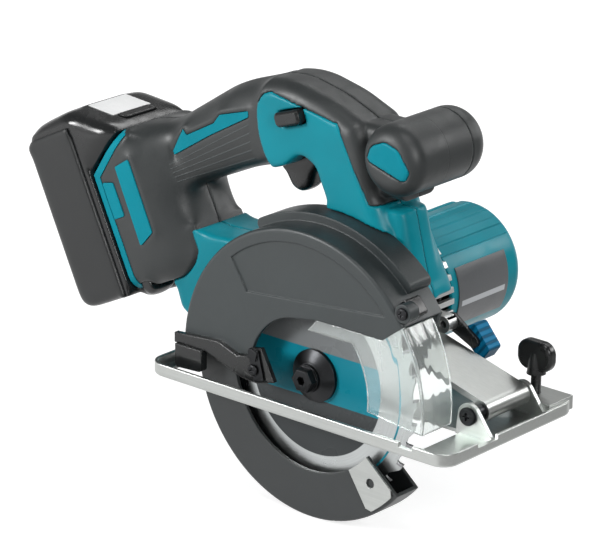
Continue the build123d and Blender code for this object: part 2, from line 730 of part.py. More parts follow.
# Gear housing: gearbox, nose for the guard, vented ring round the fan, seat for the hinge arm
CLAMP = (
    HINGE_X - GUIDE_REACH * cos(radians(CLAMP_ANGLE)),
    HINGE_Z + GUIDE_REACH * sin(radians(CLAMP_ANGLE)),
)
with BuildPart() as gear_housing:
    with BuildSketch(side_plane(GEARCASE_FAR)):
        with Locations(SPINDLE):
            Circle(GEARCASE_SPINDLE_WALL)
        with Locations(COUNTER):
            Circle(GEARCASE_COUNTER_WALL)
        with Locations(MOTOR):
            Circle(GEARCASE_MOTOR_WALL)
        make_hull()
        seat_height = ARM_SEAT_TOP - ARM_SEAT_BOTTOM
        with Locations((ARM_SEAT_X / 2, ARM_SEAT_BOTTOM + seat_height / 2)):
            Rectangle(ARM_SEAT_X, seat_height)
    extrude(amount=GEARCASE_FAR - GEARCASE_NEAR)
    with BuildSketch(side_plane(GEARCASE_NEAR, SPINDLE)):
        Circle(NOSE_RADIUS)
    extrude(amount=NOSE_LENGTH)
    with BuildSketch(side_plane(MOTOR_NEAR, MOTOR)):
        Circle(FAN_RING_RADIUS)
    extrude(amount=MOTOR_NEAR - GEARCASE_FAR)
    with BuildSketch(side_plane(LUG_FAR)):
        with Locations(CLAMP):
            Circle(CLAMP_LUG_RADIUS)
        with Locations((MOTOR_X - FAN_RING_RADIUS * 0.6, CLAMP[1] + CLAMP_LUG_RADIUS)):
            Circle(CLAMP_LUG_RADIUS)
        make_hull()
    extrude(amount=LUG_FAR - LUG_NEAR)
    with BuildSketch(side_plane(LUG_FAR)):
        with Locations((SHAFT_LOCK_X, SHAFT_LOCK_Z)):
            Circle(LOCK_PIN * 2.0)
        with Locations(LEVER_LUG):
            Circle(LOCK_PIN * 2.0)
        make_hull()
    extrude(amount=LUG_FAR - LUG_NEAR)
    # hollow of the fan ring
    with BuildSketch(side_plane(MOTOR_NEAR, MOTOR)):
        Circle(FAN_RING_RADIUS - FAN_RING_WALL)
    extrude(amount=MOTOR_NEAR - GEARCASE_FAR - FAN_RING_WALL, mode=Mode.SUBTRACT)
    # vents between the bars
    vent_length = MOTOR_NEAR - GEARCASE_FAR - FAN_RING_WALL
    vent_rows = [VENT_MIDDLE + (i - (VENT_COUNT - 1) / 2) * VENT_PITCH for i in range(VENT_COUNT)]
    with Locations(*[(MOTOR_X + FAN_RING_RADIUS, MOTOR_NEAR - vent_length / 2, z) for z in vent_rows]):
        Box(FAN_RING_RADIUS * 0.7, vent_length, VENT_HEIGHT, mode=Mode.SUBTRACT)
    # room for the depth guide
    with BuildSketch(side_plane(GUIDE_Y + GUIDE_THICKNESS + GAP, HINGE)):
        guide_room = GUIDE_WIDTH / 2 + GAP
        guide_start = 180 - CLAMP_ANGLE - 2 * DEPTH_TRAVEL - GUIDE_END
        ring_sector(GUIDE_REACH - guide_room, GUIDE_REACH + guide_room, guide_start, 180 + GUIDE_FOOT_ANGLE)
    extrude(amount=GUIDE_THICKNESS + 2 * GAP, mode=Mode.SUBTRACT)
    # chambers of the two gear pairs
    coarse_room = COARSE_MODULE * (SPINDLE_TEETH / 2 + 1) + GAP
    counter_room = COARSE_MODULE * (COUNTER_PINION_TEETH / 2 + 1) + GAP
    with BuildSketch(side_plane(FINE_Y - 1.0)):
        with Locations(SPINDLE):
            Circle(coarse_room)
        with Locations(COUNTER):
            Circle(counter_room)
    extrude(amount=FINE_Y - COARSE_Y, mode=Mode.SUBTRACT)
    with BuildSketch(side_plane(BEARING_Y)):
        with Locations(COUNTER):
            Circle(FINE_MODULE * (COUNTER_TEETH / 2 + 1) + GAP)
        with Locations(MOTOR):
            Circle(FINE_MODULE * (PINION_TEETH / 2 + 1) + GAP)
    extrude(amount=BEARING_Y - FINE_Y + 1.0, mode=Mode.SUBTRACT)
    # bores
    with BuildSketch(side_plane(BEARING_Y, SPINDLE)):
        Circle(SPINDLE_RADIUS + GAP)
    extrude(amount=BEARING_Y - NOSE_FACE, mode=Mode.SUBTRACT)
    with BuildSketch(side_plane(SPINDLE_BEARING_Y + SPINDLE_BEARING_WIDTH, SPINDLE)):
        Circle(SPINDLE_BEARING)
    extrude(amount=SPINDLE_BEARING_Y + SPINDLE_BEARING_WIDTH - NOSE_FACE, mode=Mode.SUBTRACT)
    with BuildSketch(side_plane(GEARCASE_FAR - 1.5, SPINDLE)):
        Circle(TAIL_BEARING)
    extrude(amount=GEARCASE_FAR - 1.5 - BEARING_Y, mode=Mode.SUBTRACT)
    with BuildSketch(side_plane(GEARCASE_FAR - 1.5, COUNTER)):
        Circle(COUNTER_RADIUS + FIT)
    extrude(amount=GEARCASE_FAR - 1.5 - GEARCASE_NEAR - WALL, mode=Mode.SUBTRACT)
    with BuildSketch(side_plane(GEARCASE_FAR + FAN_RING_WALL, MOTOR)):
        Circle(TAIL_BEARING)
    extrude(amount=GEARCASE_FAR + FAN_RING_WALL - BEARING_Y, mode=Mode.SUBTRACT)
    with BuildSketch(side_plane(LUG_FAR, CLAMP)):
        Circle(HINGE_PIN_RADIUS + FIT)
    extrude(amount=LUG_FAR - LUG_NEAR, mode=Mode.SUBTRACT)
    with BuildSketch(side_plane(LUG_FAR, (SHAFT_LOCK_X, SHAFT_LOCK_Z))):
        Circle(LOCK_PIN + FIT)
    extrude(amount=LUG_FAR - LUG_NEAR, mode=Mode.SUBTRACT)
    for y in ARM_SCREW_Y:
        with BuildSketch(Plane(origin=(ARM_SEAT_X, y, ARM_SCREW_Z), x_dir=(0, 1, 0), z_dir=(-1, 0, 0))):
            Circle(SMALL_SCREW + SEAT)
        extrude(amount=SCREW_REACH, mode=Mode.SUBTRACT)
keep("gear_housing", gear_housing)

# Motor housing, a fluted can with air inlets in its end
with BuildPart() as motor_housing:
    with BuildSketch(side_plane(MOTOR_FAR, MOTOR)):
        Circle(MOTOR_RADIUS)
    extrude(amount=MOTOR_FAR - MOTOR_NEAR)
    fillet(motor_housing.faces().sort_by(Axis.Y)[-1].edges(), MOTOR_END_ROUND)
    with BuildSketch(side_plane(MOTOR_FAR - MOTOR_END_ROUND, MOTOR)):
        Circle(MOTOR_RADIUS - WALL)
    extrude(amount=MOTOR_FAR - MOTOR_NEAR - MOTOR_END_ROUND, mode=Mode.SUBTRACT)
    with BuildSketch(side_plane(MOTOR_FAR, MOTOR)):
        with PolarLocations(MOTOR_RADIUS * 0.58, INLET_COUNT):
            SlotOverall(11.0, 3.0)
    extrude(amount=MOTOR_END_ROUND * 1.2, mode=Mode.SUBTRACT)
    with BuildSketch(side_plane(REAR_BEARING_Y + BEARING_WIDTH, MOTOR)):
        Circle(TAIL_BEARING)
    extrude(amount=BEARING_WIDTH * 2, mode=Mode.SUBTRACT)
    with BuildSketch(side_plane(MOTOR_FAR, MOTOR)):
        with PolarLocations(
            MOTOR_RADIUS, FLUTE_COUNT, start_angle=FLUTE_START, angular_range=FLUTE_STEP * FLUTE_COUNT
        ):
            Trapezoid(FLUTE_WIDTH + 2 * FLUTE_DEPTH, 2 * FLUTE_DEPTH, 60, rotation=90)
    extrude(amount=MOTOR_FAR - MOTOR_NEAR, mode=Mode.SUBTRACT)
keep("motor_housing", motor_housing)

# Blank plate on the front of the motor housing
with BuildPart() as motor_plate:
    with BuildSketch(side_plane(PLATE_FAR, MOTOR)):
        ring_sector(MOTOR_RADIUS, MOTOR_RADIUS + PLATE_THICKNESS, *PLATE_ANGLES)
    extrude(amount=PLATE_FAR - PLATE_NEAR)
keep("motor_plate", motor_plate)


def case_arc_point(angle):
    """A point on the outer edge of the blade case, in X and Z."""
    across, up = polar(CASE_RADIUS, angle)
    return (SPINDLE[0] + across, SPINDLE[1] + up)


# Blade case: near wall, rim, back wall and the hump beside the handle
boss_across, boss_up = polar(CASE_RADIUS - COVER_BOSS_DROP, COVER_BOSS_ANGLE)
COVER_BOSS = (SPINDLE[0] + boss_across, SPINDLE[1] + boss_up)
CASE_FRONT = case_arc_point(CASE_FRONT_ANGLE)
CASE_REAR = case_arc_point(CASE_REAR_ANGLE)
CASE_KNEE = (SPINDLE[0] + CASE_RADIUS * 0.667, CASE_SILL)
CASE_STEP = (12.0, CASE_SILL)
with BuildPart() as blade_case:
    with BuildSketch(side_plane(CASE_NEAR + WALL)):
        with BuildLine():
            CenterArc(SPINDLE, CASE_RADIUS, CASE_FRONT_ANGLE, CASE_REAR_ANGLE - CASE_FRONT_ANGLE)
            arbor = CenterArc(SPINDLE, ARBOR_CUT_RADIUS, 102.0, 68.0)
            Polyline(CASE_FRONT, CASE_KNEE, CASE_STEP, arbor @ 0)
            Polyline(arbor @ 1, (SPINDLE[0] - CASE_RADIUS * 0.667, SPINDLE[1] + 3.0), CASE_REAR)
        make_face()
    extrude(amount=WALL)
    with BuildSketch(side_plane(GEARCASE_NEAR, SPINDLE)):
        ring_sector(CASE_RADIUS - WALL, CASE_RADIUS, CASE_FRONT_ANGLE, CASE_REAR_ANGLE)
    extrude(amount=GEARCASE_NEAR - CASE_NEAR)
    rim_edges = blade_case.edges().filter_by(GeomType.CIRCLE)
    rim_edges = rim_edges.filter_by(lambda e: abs(e.radius - CASE_RADIUS) < 0.01)
    fillet(rim_edges.filter_by(lambda e: abs(e.center().Y - CASE_NEAR) < 0.01), CASE_ROUND)
    with BuildSketch(side_plane(GEARCASE_NEAR, SPINDLE)):
        ring_sector(CASE_RADIUS - WALL, HUMP_RADIUS, *HUMP_ANGLES)
    extrude(amount=GEARCASE_NEAR - HUMP_NEAR)
    hump_ends = blade_case.edges().filter_by(Axis.Y).sort_by_distance((*SPINDLE[:1], HUMP_NEAR, SPINDLE[1]))
    fillet(hump_ends[-2:], HUMP_END_ROUND)
    with BuildSketch(side_plane(GEARCASE_NEAR)):
        with BuildLine():
            CenterArc(SPINDLE, CASE_RADIUS, CASE_FRONT_ANGLE, CASE_REAR_ANGLE - CASE_FRONT_ANGLE)
            front_low = (SPINDLE[0] + CASE_RADIUS * 0.578, BACK_SILL)
            rear_low = (SPINDLE[0] - CASE_RADIUS * 0.667, BACK_SILL)
            Polyline(CASE_FRONT, front_low, rear_low, CASE_REAR)
        make_face()
        with Locations(SPINDLE):
            Circle(NOSE_RADIUS + SEAT, mode=Mode.SUBTRACT)
    extrude(amount=WALL)
    with BuildSketch(side_plane(CASE_NEAR + BOSS_LENGTH)):
        with Locations(COVER_BOSS):
            Circle(BOSS_RADIUS)
        with Locations(SPINDLE):
            Circle(CASE_RADIUS - WALL / 2, mode=Mode.SUBTRACT)
    extrude(amount=BOSS_LENGTH)
    with BuildSketch(side_plane(CASE_NEAR + PANEL_DEPTH)):
        with Locations(SPINDLE):
            Circle(CASE_RADIUS - PANEL_BORDER)
        Polygon(*PANEL_EDGE, align=None, mode=Mode.INTERSECT)
    extrude(amount=PANEL_DEPTH, mode=Mode.SUBTRACT)
    with BuildSketch(side_plane(CASE_NEAR + BOSS_LENGTH, COVER_BOSS)):
        Circle(SMALL_SCREW + SEAT)
    extrude(amount=BOSS_LENGTH, mode=Mode.SUBTRACT)
keep("blade_case", blade_case)

# Clear cover over the front of the blade
with BuildPart() as clear_cover:
    with BuildSketch(side_plane(CASE_NEAR + COVER_WALL)):
        with BuildLine():
            edge = CenterArc(
                SPINDLE, CASE_RADIUS, COVER_LOW_ANGLE, CASE_FRONT_ANGLE - COVER_LOW_ANGLE
            )
            hollow = CenterArc(SPINDLE, COVER_INNER, COVER_LOW_ANGLE, COVER_TOP_ANGLE - COVER_LOW_ANGLE)
            Line(hollow @ 0, edge @ 0)
            Polyline(edge @ 1, CASE_KNEE, CASE_STEP, COVER_TAIL, hollow @ 1)
        make_face()
    extrude(amount=COVER_WALL)
    with BuildSketch(side_plane(COVER_FAR, SPINDLE)):
        ring_sector(CASE_RADIUS - COVER_WALL, CASE_RADIUS, COVER_LOW_ANGLE, CASE_FRONT_ANGLE - 0.5)
    extrude(amount=COVER_FAR - CASE_NEAR)
    rim_edges = clear_cover.edges().filter_by(GeomType.CIRCLE)
    rim_edges = rim_edges.filter_by(lambda e: abs(e.radius - CASE_RADIUS) < 0.01)
    fillet(rim_edges.filter_by(lambda e: abs(e.center().Y - CASE_NEAR) < 0.01), COVER_WALL * 0.9)
keep("clear_cover", clear_cover)

with BuildPart() as cover_clip:
    with BuildSketch(side_plane(CLIP_FAR, SPINDLE)):
        ring_sector(CASE_RADIUS, CASE_RADIUS + CLIP_HEIGHT, *CLIP_ANGLES)
    extrude(amount=CLIP_FAR - CLIP_NEAR)
    chamfer(cover_clip.edges().filter_by(Axis.Y).sort_by_distance((0, 0, SPINDLE_HEIGHT))[-2:], 1.2)
keep("cover_clip", cover_clip)

# Rear skirt of the case, its clamp plate and screw, and the block below it
with BuildPart() as case_skirt:
    with BuildSketch(side_plane(CASE_NEAR)):
        Polygon(*SKIRT, align=None)
        with Locations(SKIRT_SCREW):
            Circle(SMALL_SCREW + SEAT, mode=Mode.SUBTRACT)
    extrude(amount=SKIRT_THICKNESS)
keep("case_skirt", case_skirt)

SKIRT_FACE = CASE_NEAR - SKIRT_THICKNESS
with BuildPart() as skirt_plate:
    with BuildSketch(side_plane(SKIRT_FACE)):
        rounded_face(SKIRT_PLATE, 1.2)
        with Locations(SKIRT_SCREW):
            Circle(SMALL_SCREW + SEAT, mode=Mode.SUBTRACT)
    extrude(amount=SKIRT_PLATE_THICKNESS)
    with BuildSketch(side_plane(SKIRT_FACE - SKIRT_PLATE_THICKNESS)):
        with Locations((SKIRT_SCREW[0], SKIRT_SCREW[1] + 9.5)):
            Rectangle(6.0, 6.0, rotation=-14)
    extrude(amount=SKIRT_PLATE_THICKNESS)
keep("skirt_plate", skirt_plate)

with BuildPart() as case_screws:
    add(cross_screw(COVER_BOSS, CASE_NEAR, BOSS_LENGTH - 1.0))
    clamped = SKIRT_THICKNESS + SKIRT_PLATE_THICKNESS
    add(cross_screw(SKIRT_SCREW, SKIRT_FACE - SKIRT_PLATE_THICKNESS, clamped))
keep("case_screws", case_screws)

with BuildPart() as foot_block:
    with BuildSketch(side_plane(CASE_NEAR)):
        rounded_face(FOOT_BLOCK, [0.0, 2.0, 2.0, 0.0])
    extrude(amount=FOOT_WIDTH)
keep("foot_block", foot_block)

# Lower guard, a channel round the blade that turns on the nose of the gear housing
with BuildPart() as lower_guard:
    with BuildSketch(side_plane(GUARD_FAR, SPINDLE)):
        ring_sector(NOSE_RADIUS, GUARD_RADIUS, GUARD_FRONT_ANGLE, GUARD_REAR_ANGLE)
        Circle(NOSE_RADIUS + GUARD_HUB_WALL)
    extrude(amount=GUARD_WALL)
    with BuildSketch(side_plane(GUARD_FAR, SPINDLE)):
        ring_sector(GUARD_RADIUS - GUARD_WALL, GUARD_RADIUS, GUARD_FRONT_ANGLE, GUARD_REAR_ANGLE)
    extrude(amount=GUARD_FAR - GUARD_NEAR)
    with BuildSketch(side_plane(GUARD_NEAR + GUARD_WALL, SPINDLE)):
        ring_sector(GUARD_MOUTH, GUARD_RADIUS, GUARD_FRONT_ANGLE, GUARD_REAR_ANGLE)
    extrude(amount=GUARD_WALL)
    with BuildSketch(side_plane(GUARD_FAR + GUARD_HUB_LENGTH - GUARD_WALL, SPINDLE)):
        Circle(NOSE_RADIUS + GUARD_HUB_WALL)
    extrude(amount=GUARD_HUB_LENGTH)
    with BuildSketch(side_plane(GUARD_FAR + GUARD_HUB_LENGTH, SPINDLE)):
        Circle(NOSE_RADIUS + FIT)
    extrude(amount=2 * GUARD_HUB_LENGTH, mode=Mode.SUBTRACT)
    rim_edges = lower_guard.edges().filter_by(GeomType.CIRCLE)
    rim_edges = rim_edges.filter_by(lambda e: abs(e.radius - GUARD_RADIUS) < 0.01)
    fillet(rim_edges.filter_by(lambda e: abs(e.center().Y - GUARD_NEAR) < 0.01), GUARD_WALL * 0.9)
keep("lower_guard", lower_guard)

with BuildPart() as guard_end_plate:
    with BuildSketch(side_plane(GUARD_NEAR, SPINDLE)):
        tip_back = GUARD_FRONT_ANGLE - TIP_SWEEP
        ring_sector(GUARD_MOUTH, GUARD_RADIUS - GUARD_WALL, GUARD_FRONT_ANGLE, tip_back)
        with Locations(polar(TIP_RIVET_RADIUS, GUARD_FRONT_ANGLE - TIP_SWEEP * 0.45)):
            Circle(TIP_HOLE, mode=Mode.SUBTRACT)
    extrude(amount=TIP_THICKNESS)
    tip_corners = guard_end_plate.edges().filter_by(Axis.Y)
    chamfer(tip_corners.sort_by_distance((0, GUARD_NEAR, SPINDLE_HEIGHT))[-2:], 3.0)
keep("guard_end_plate", guard_end_plate)

with BuildPart() as guard_circlip:
    circlip_y = GUARD_FAR - GUARD_WALL - GAP
    with BuildSketch(side_plane(circlip_y, SPINDLE)):
        ring_sector(NOSE_RADIUS + SEAT, NOSE_RADIUS + CIRCLIP_WIDTH, 20.0, 340.0)
    extrude(amount=CIRCLIP_THICKNESS)
keep("guard_circlip", guard_circlip)

# Coils of the spring that closes the guard
with BuildPart() as guard_spring:
    coil_y = GEARCASE_NEAR - WALL
    with BuildSketch(side_plane(coil_y, SPINDLE)):
        Circle(NOSE_RADIUS + 2 * SPRING_WIRE)
        Circle(NOSE_RADIUS + SPRING_WIRE, mode=Mode.SUBTRACT)
    extrude(amount=SPRING_WIRE)
    with BuildSketch(side_plane(coil_y, SPINDLE)):
        with Locations((NOSE_RADIUS + 4 * SPRING_WIRE, 0)):
            Rectangle(5 * SPRING_WIRE, SPRING_WIRE)
    extrude(amount=SPRING_WIRE)
keep("guard_spring", guard_spring)

# Arm from the gear housing to the hinge, rolled round the hinge pin at its front
ARM_FACE = ARM_SEAT_X + ARM_THICKNESS
with BuildPart() as hinge_arm:
    with BuildSketch(side_plane(BARREL_FAR)):
        drop = atan2(ARM_SEAT_TOP - HINGE_Z - BARREL_RADIUS, HINGE_X - ARM_FACE)
        crest = (HINGE_X + BARREL_RADIUS * sin(drop), HINGE_Z + BARREL_RADIUS * cos(drop))
        inner = BARREL_RADIUS - ARM_THICKNESS
        trough = (HINGE_X + inner * sin(drop), HINGE_Z + inner * cos(drop))
        Polygon(
            (ARM_SEAT_X, ARM_SEAT_TOP),
            (ARM_FACE, ARM_SEAT_TOP),
            crest,
            trough,
            (ARM_FACE, ARM_SEAT_TOP - ARM_THICKNESS / cos(drop)),
            (ARM_FACE, ARM_SEAT_BOTTOM),
            (ARM_SEAT_X, ARM_SEAT_BOTTOM),
            align=None,
        )
        with Locations(HINGE):
            Circle(BARREL_RADIUS)
            Circle(HINGE_PIN_RADIUS + FIT, mode=Mode.SUBTRACT)
    extrude(amount=BARREL_FAR - BARREL_NEAR)
    for y in ARM_SCREW_Y:
        with BuildSketch(Plane(origin=(ARM_FACE, y, ARM_SCREW_Z), x_dir=(0, 1, 0), z_dir=(-1, 0, 0))):
            Circle(SMALL_SCREW + SEAT)
        extrude(amount=ARM_THICKNESS, mode=Mode.SUBTRACT)
keep("hinge_arm", hinge_arm)

with BuildPart() as arm_screws:
    for y in ARM_SCREW_Y:
        with BuildSketch(Plane(origin=(ARM_FACE, y, ARM_SCREW_Z), x_dir=(0, 1, 0), z_dir=(1, 0, 0))):
            Circle(2 * SMALL_SCREW)
        extrude(amount=SMALL_SCREW)
        with BuildSketch(Plane(origin=(ARM_FACE, y, ARM_SCREW_Z), x_dir=(0, 1, 0), z_dir=(-1, 0, 0))):
            Circle(SMALL_SCREW)
        extrude(amount=ARM_THICKNESS + SCREW_REACH - 1.0)
keep("arm_screws", arm_screws)

# Base: a pressed tray with the blade slot, the hinge ears and the bracket for a guide rule
BASE_LENGTH = BASE_FRONT - BASE_REAR
BASE_WIDTH = BASE_FAR - BASE_NEAR
BASE_MIDDLE = ((BASE_REAR + BASE_FRONT) / 2, (BASE_NEAR + BASE_FAR) / 2)
with BuildPart() as base_plate:
    with BuildSketch():
        with Locations(BASE_MIDDLE):
            RectangleRounded(BASE_LENGTH, BASE_WIDTH, BASE_CORNER)
    extrude(amount=RIM_HEIGHT)
    fillet(base_plate.faces().sort_by(Axis.Z)[0].edges(), BASE_THICKNESS)
    with BuildSketch(Plane.XY.offset(BASE_THICKNESS)):
        with Locations(BASE_MIDDLE):
            RectangleRounded(BASE_LENGTH - 2 * RIM_WALL, BASE_WIDTH - 2 * RIM_WALL, BASE_CORNER - RIM_WALL)
    extrude(amount=RIM_HEIGHT, mode=Mode.SUBTRACT)
    fillet(base_plate.faces().sort_by(Axis.Z)[-1].edges(), RIM_WALL * 0.3)
    with BuildSketch():
        with Locations(((SLOT_REAR + SLOT_FRONT) / 2, (SLOT_NEAR + SLOT_FAR) / 2)):
            Rectangle(SLOT_FRONT - SLOT_REAR, SLOT_FAR - SLOT_NEAR)
        with Locations(((WINDOW_REAR + WINDOW_FRONT) / 2, (SLOT_FAR + WINDOW_FAR) / 2)):
            Rectangle(WINDOW_FRONT - WINDOW_REAR, WINDOW_FAR - SLOT_FAR)
    extrude(amount=BASE_THICKNESS, mode=Mode.SUBTRACT)
    for ear_y in (EAR_NEAR, EAR_FAR):
        with BuildSketch(side_plane(ear_y + EAR_THICKNESS)):
            with Locations(HINGE):
                Circle(EAR_RADIUS)
            with Locations((HINGE_X + EAR_FOOT * 0.16, BASE_THICKNESS)):
                Rectangle(EAR_FOOT, BASE_THICKNESS)
            make_hull()
            with Locations(HINGE):
                Circle(HINGE_PIN_RADIUS + SEAT, mode=Mode.SUBTRACT)
        extrude(amount=EAR_THICKNESS)
    bracket_top = RIM_HEIGHT + BASE_THICKNESS
    bracket_middle = BASE_FRONT - RIM_WALL - BRACKET_LENGTH / 2
    with BuildSketch(Plane.XY.offset(BASE_THICKNESS)):
        with Locations((bracket_middle, WING_Y)):
            Rectangle(BRACKET_LENGTH, BRACKET_WIDTH)
    extrude(amount=bracket_top - BASE_THICKNESS)
    slot_middle = (bracket_middle, (BASE_THICKNESS + RIM_HEIGHT) / 2)
    with BuildSketch(side_plane(WING_Y + BRACKET_WIDTH, slot_middle)):
        Rectangle(BRACKET_LENGTH - 4 * BASE_THICKNESS, RIM_HEIGHT - BASE_THICKNESS)
    extrude(amount=BRACKET_WIDTH + WING_Y - EAR_FAR - EAR_THICKNESS, mode=Mode.SUBTRACT)
    with BuildSketch(Plane.XY.offset(RIM_HEIGHT - 1.0)):
        with Locations((WING_X, WING_Y)):
            Circle(WING_STEM_RADIUS + FIT)
    extrude(amount=bracket_top, mode=Mode.SUBTRACT)
    # sighting notches in the rim
    with BuildSketch(Plane.XY.offset(RIM_HEIGHT - NOTCH_DEPTH)):
        with Locations((BASE_FRONT, (NOTCH_NEAR + NOTCH_FAR) / 2)):
            Rectangle(4 * RIM_WALL, NOTCH_FAR - NOTCH_NEAR)
        with Locations((SIGHT_X, BASE_NEAR)):
            Rectangle(SIGHT_WIDTH, 4 * RIM_WALL)
    extrude(amount=RIM_HEIGHT, mode=Mode.SUBTRACT)
keep("base_plate", base_plate)

with BuildPart() as hinge_pin:
    with BuildSketch(side_plane(EAR_FAR + EAR_THICKNESS, HINGE)):
        Circle(HINGE_PIN_RADIUS)
    extrude(amount=EAR_FAR + EAR_THICKNESS - EAR_NEAR)
    with BuildSketch(side_plane(EAR_NEAR, HINGE)):
        Circle(HINGE_PIN_RADIUS * 1.8)
    extrude(amount=HINGE_PIN_RADIUS * 0.8)
    fillet(hinge_pin.faces().sort_by(Axis.Y)[0].edges(), HINGE_PIN_RADIUS * 0.4)
    with BuildSketch(side_plane(EAR_NEAR - HINGE_PIN_RADIUS * 0.8, HINGE)):
        Rectangle(HINGE_PIN_RADIUS * 1.7, HINGE_PIN_RADIUS * 0.4)
        Rectangle(HINGE_PIN_RADIUS * 0.4, HINGE_PIN_RADIUS * 1.7)
    extrude(amount=-HINGE_PIN_RADIUS * 0.6, mode=Mode.SUBTRACT)
    with BuildSketch(side_plane(BARREL_NEAR - GAP, HINGE)):
        Circle(HINGE_PIN_RADIUS * 1.7)
    extrude(amount=BARREL_NEAR - GAP - EAR_NEAR - EAR_THICKNESS)
keep("hinge_pin", hinge_pin)

# Depth guide: a slotted arc about the hinge, standing on the base
with BuildPart() as depth_guide:
    with BuildSketch(side_plane(GUIDE_Y + GUIDE_THICKNESS, HINGE)):
        ring_sector(
            GUIDE_REACH - GUIDE_WIDTH / 2,
            GUIDE_REACH + GUIDE_WIDTH / 2,
            180 - CLAMP_ANGLE - DEPTH_TRAVEL - GUIDE_END,
            180 + GUIDE_FOOT_ANGLE,
        )
    extrude(amount=GUIDE_THICKNESS)
    slot_play = degrees((GUIDE_SLOT / 2 + GAP) / GUIDE_REACH)
    with BuildSketch(side_plane(GUIDE_Y + GUIDE_THICKNESS, HINGE)):
        ring_sector(
            GUIDE_REACH - GUIDE_SLOT / 2,
            GUIDE_REACH + GUIDE_SLOT / 2,
            180 - CLAMP_ANGLE - DEPTH_TRAVEL - slot_play,
            180 - CLAMP_ANGLE + slot_play,
        )
    extrude(amount=GUIDE_THICKNESS, mode=Mode.SUBTRACT)
    with BuildSketch(Plane.XY.offset(BASE_THICKNESS)):
        with Locations((HINGE_X - GUIDE_REACH, GUIDE_Y + GUIDE_FOOT / 2)):
            Rectangle(GUIDE_WIDTH, GUIDE_FOOT)
    extrude(amount=1.5 * GUIDE_THICKNESS)
keep("depth_guide", depth_guide)

with BuildPart() as depth_bolt:
    with BuildSketch(side_plane(GUIDE_Y - GAP, CLAMP)):
        Circle(HINGE_PIN_RADIUS * 1.6)
    extrude(amount=2.4)
    with BuildSketch(side_plane(LUG_FAR + LEVER_HUB, CLAMP)):
        Circle(HINGE_PIN_RADIUS)
    extrude(amount=LUG_FAR + LEVER_HUB - GUIDE_Y + GAP)
keep("depth_bolt", depth_bolt)

with BuildPart() as depth_lever:
    with BuildSketch(side_plane(LUG_FAR + GAP + LEVER_HUB, CLAMP)):
        Circle(CLAMP_LUG_RADIUS)
    extrude(amount=LEVER_HUB)
    with BuildSketch(side_plane(LUG_FAR + GAP + LEVER_HUB, CLAMP)):
        Circle(CLAMP_LUG_RADIUS * 0.8)
        with Locations(polar(LEVER_LENGTH, 180 - LEVER_RISE)):
            Circle(CLAMP_LUG_RADIUS * 0.55)
        make_hull()
    extrude(amount=LEVER_HUB * 0.55)
    with BuildSketch(side_plane(LUG_FAR + GAP + LEVER_HUB, CLAMP)):
        Circle(HINGE_PIN_RADIUS + FIT)
    extrude(amount=LEVER_HUB, mode=Mode.SUBTRACT)
keep("depth_lever", depth_lever)

# Wing bolt that clamps a guide rule
with BuildPart() as wing_bolt:
    with BuildSketch(side_plane(WING_Y + WING_THICKNESS / 2, (WING_X, WING_LIFT))):
        RectangleRounded(WING_WIDTH, WING_HEIGHT, WING_HEIGHT * 0.42)
    extrude(amount=WING_THICKNESS)
    fillet(wing_bolt.faces().sort_by(Axis.Y)[0].edges(), WING_THICKNESS * 0.3)
    fillet(wing_bolt.faces().sort_by(Axis.Y)[-1].edges(), WING_THICKNESS * 0.3)
    with BuildSketch(Plane.XY.offset(RIM_HEIGHT)):
        with Locations((WING_X, WING_Y)):
            Circle(WING_STEM_RADIUS)
    extrude(amount=WING_LIFT - WING_HEIGHT / 2 - RIM_HEIGHT + 2.0)
    with BuildSketch(Plane.XY.offset(WING_LIFT - WING_HEIGHT / 2 - 2.0)):
        with Locations((WING_X, WING_Y)):
            Circle(WING_STEM_RADIUS * 1.9)
    extrude(amount=WING_HEIGHT * 0.7, taper=8)
keep("wing_bolt", wing_bolt)

# Shaft-lock lever and its pad
LOCK_PIVOT = (SHAFT_LOCK_X, SHAFT_LOCK_Z)
LEVER_Y = LUG_FAR + GAP
with BuildPart() as lock_lever:
    with BuildSketch(side_plane(LEVER_Y + LEVER_THICKNESS)):
        with Locations(LOCK_PIVOT):
            Circle(LOCK_PIN * 2.0)
        with Locations(PAD_SEAT):
            Circle(LOCK_PIN * 1.4)
        make_hull()
    extrude(amount=LEVER_THICKNESS)
    with BuildSketch(side_plane(LEVER_Y, LOCK_PIVOT)):
        Circle(LOCK_PIN)
    extrude(amount=LUG_FAR - LUG_NEAR - 1.0)
keep("lock_lever", lock_lever)

with BuildPart() as lock_pad:
    with BuildSketch(side_plane(LEVER_Y + LEVER_THICKNESS + PAD_WIDTH)):
        rounded_face(PAD_OUTLINE, 2.0)
    extrude(amount=PAD_WIDTH)
    chamfer(lock_pad.faces().sort_by(Axis.Y)[-1].edges(), 1.2)
keep("lock_pad", lock_pad)

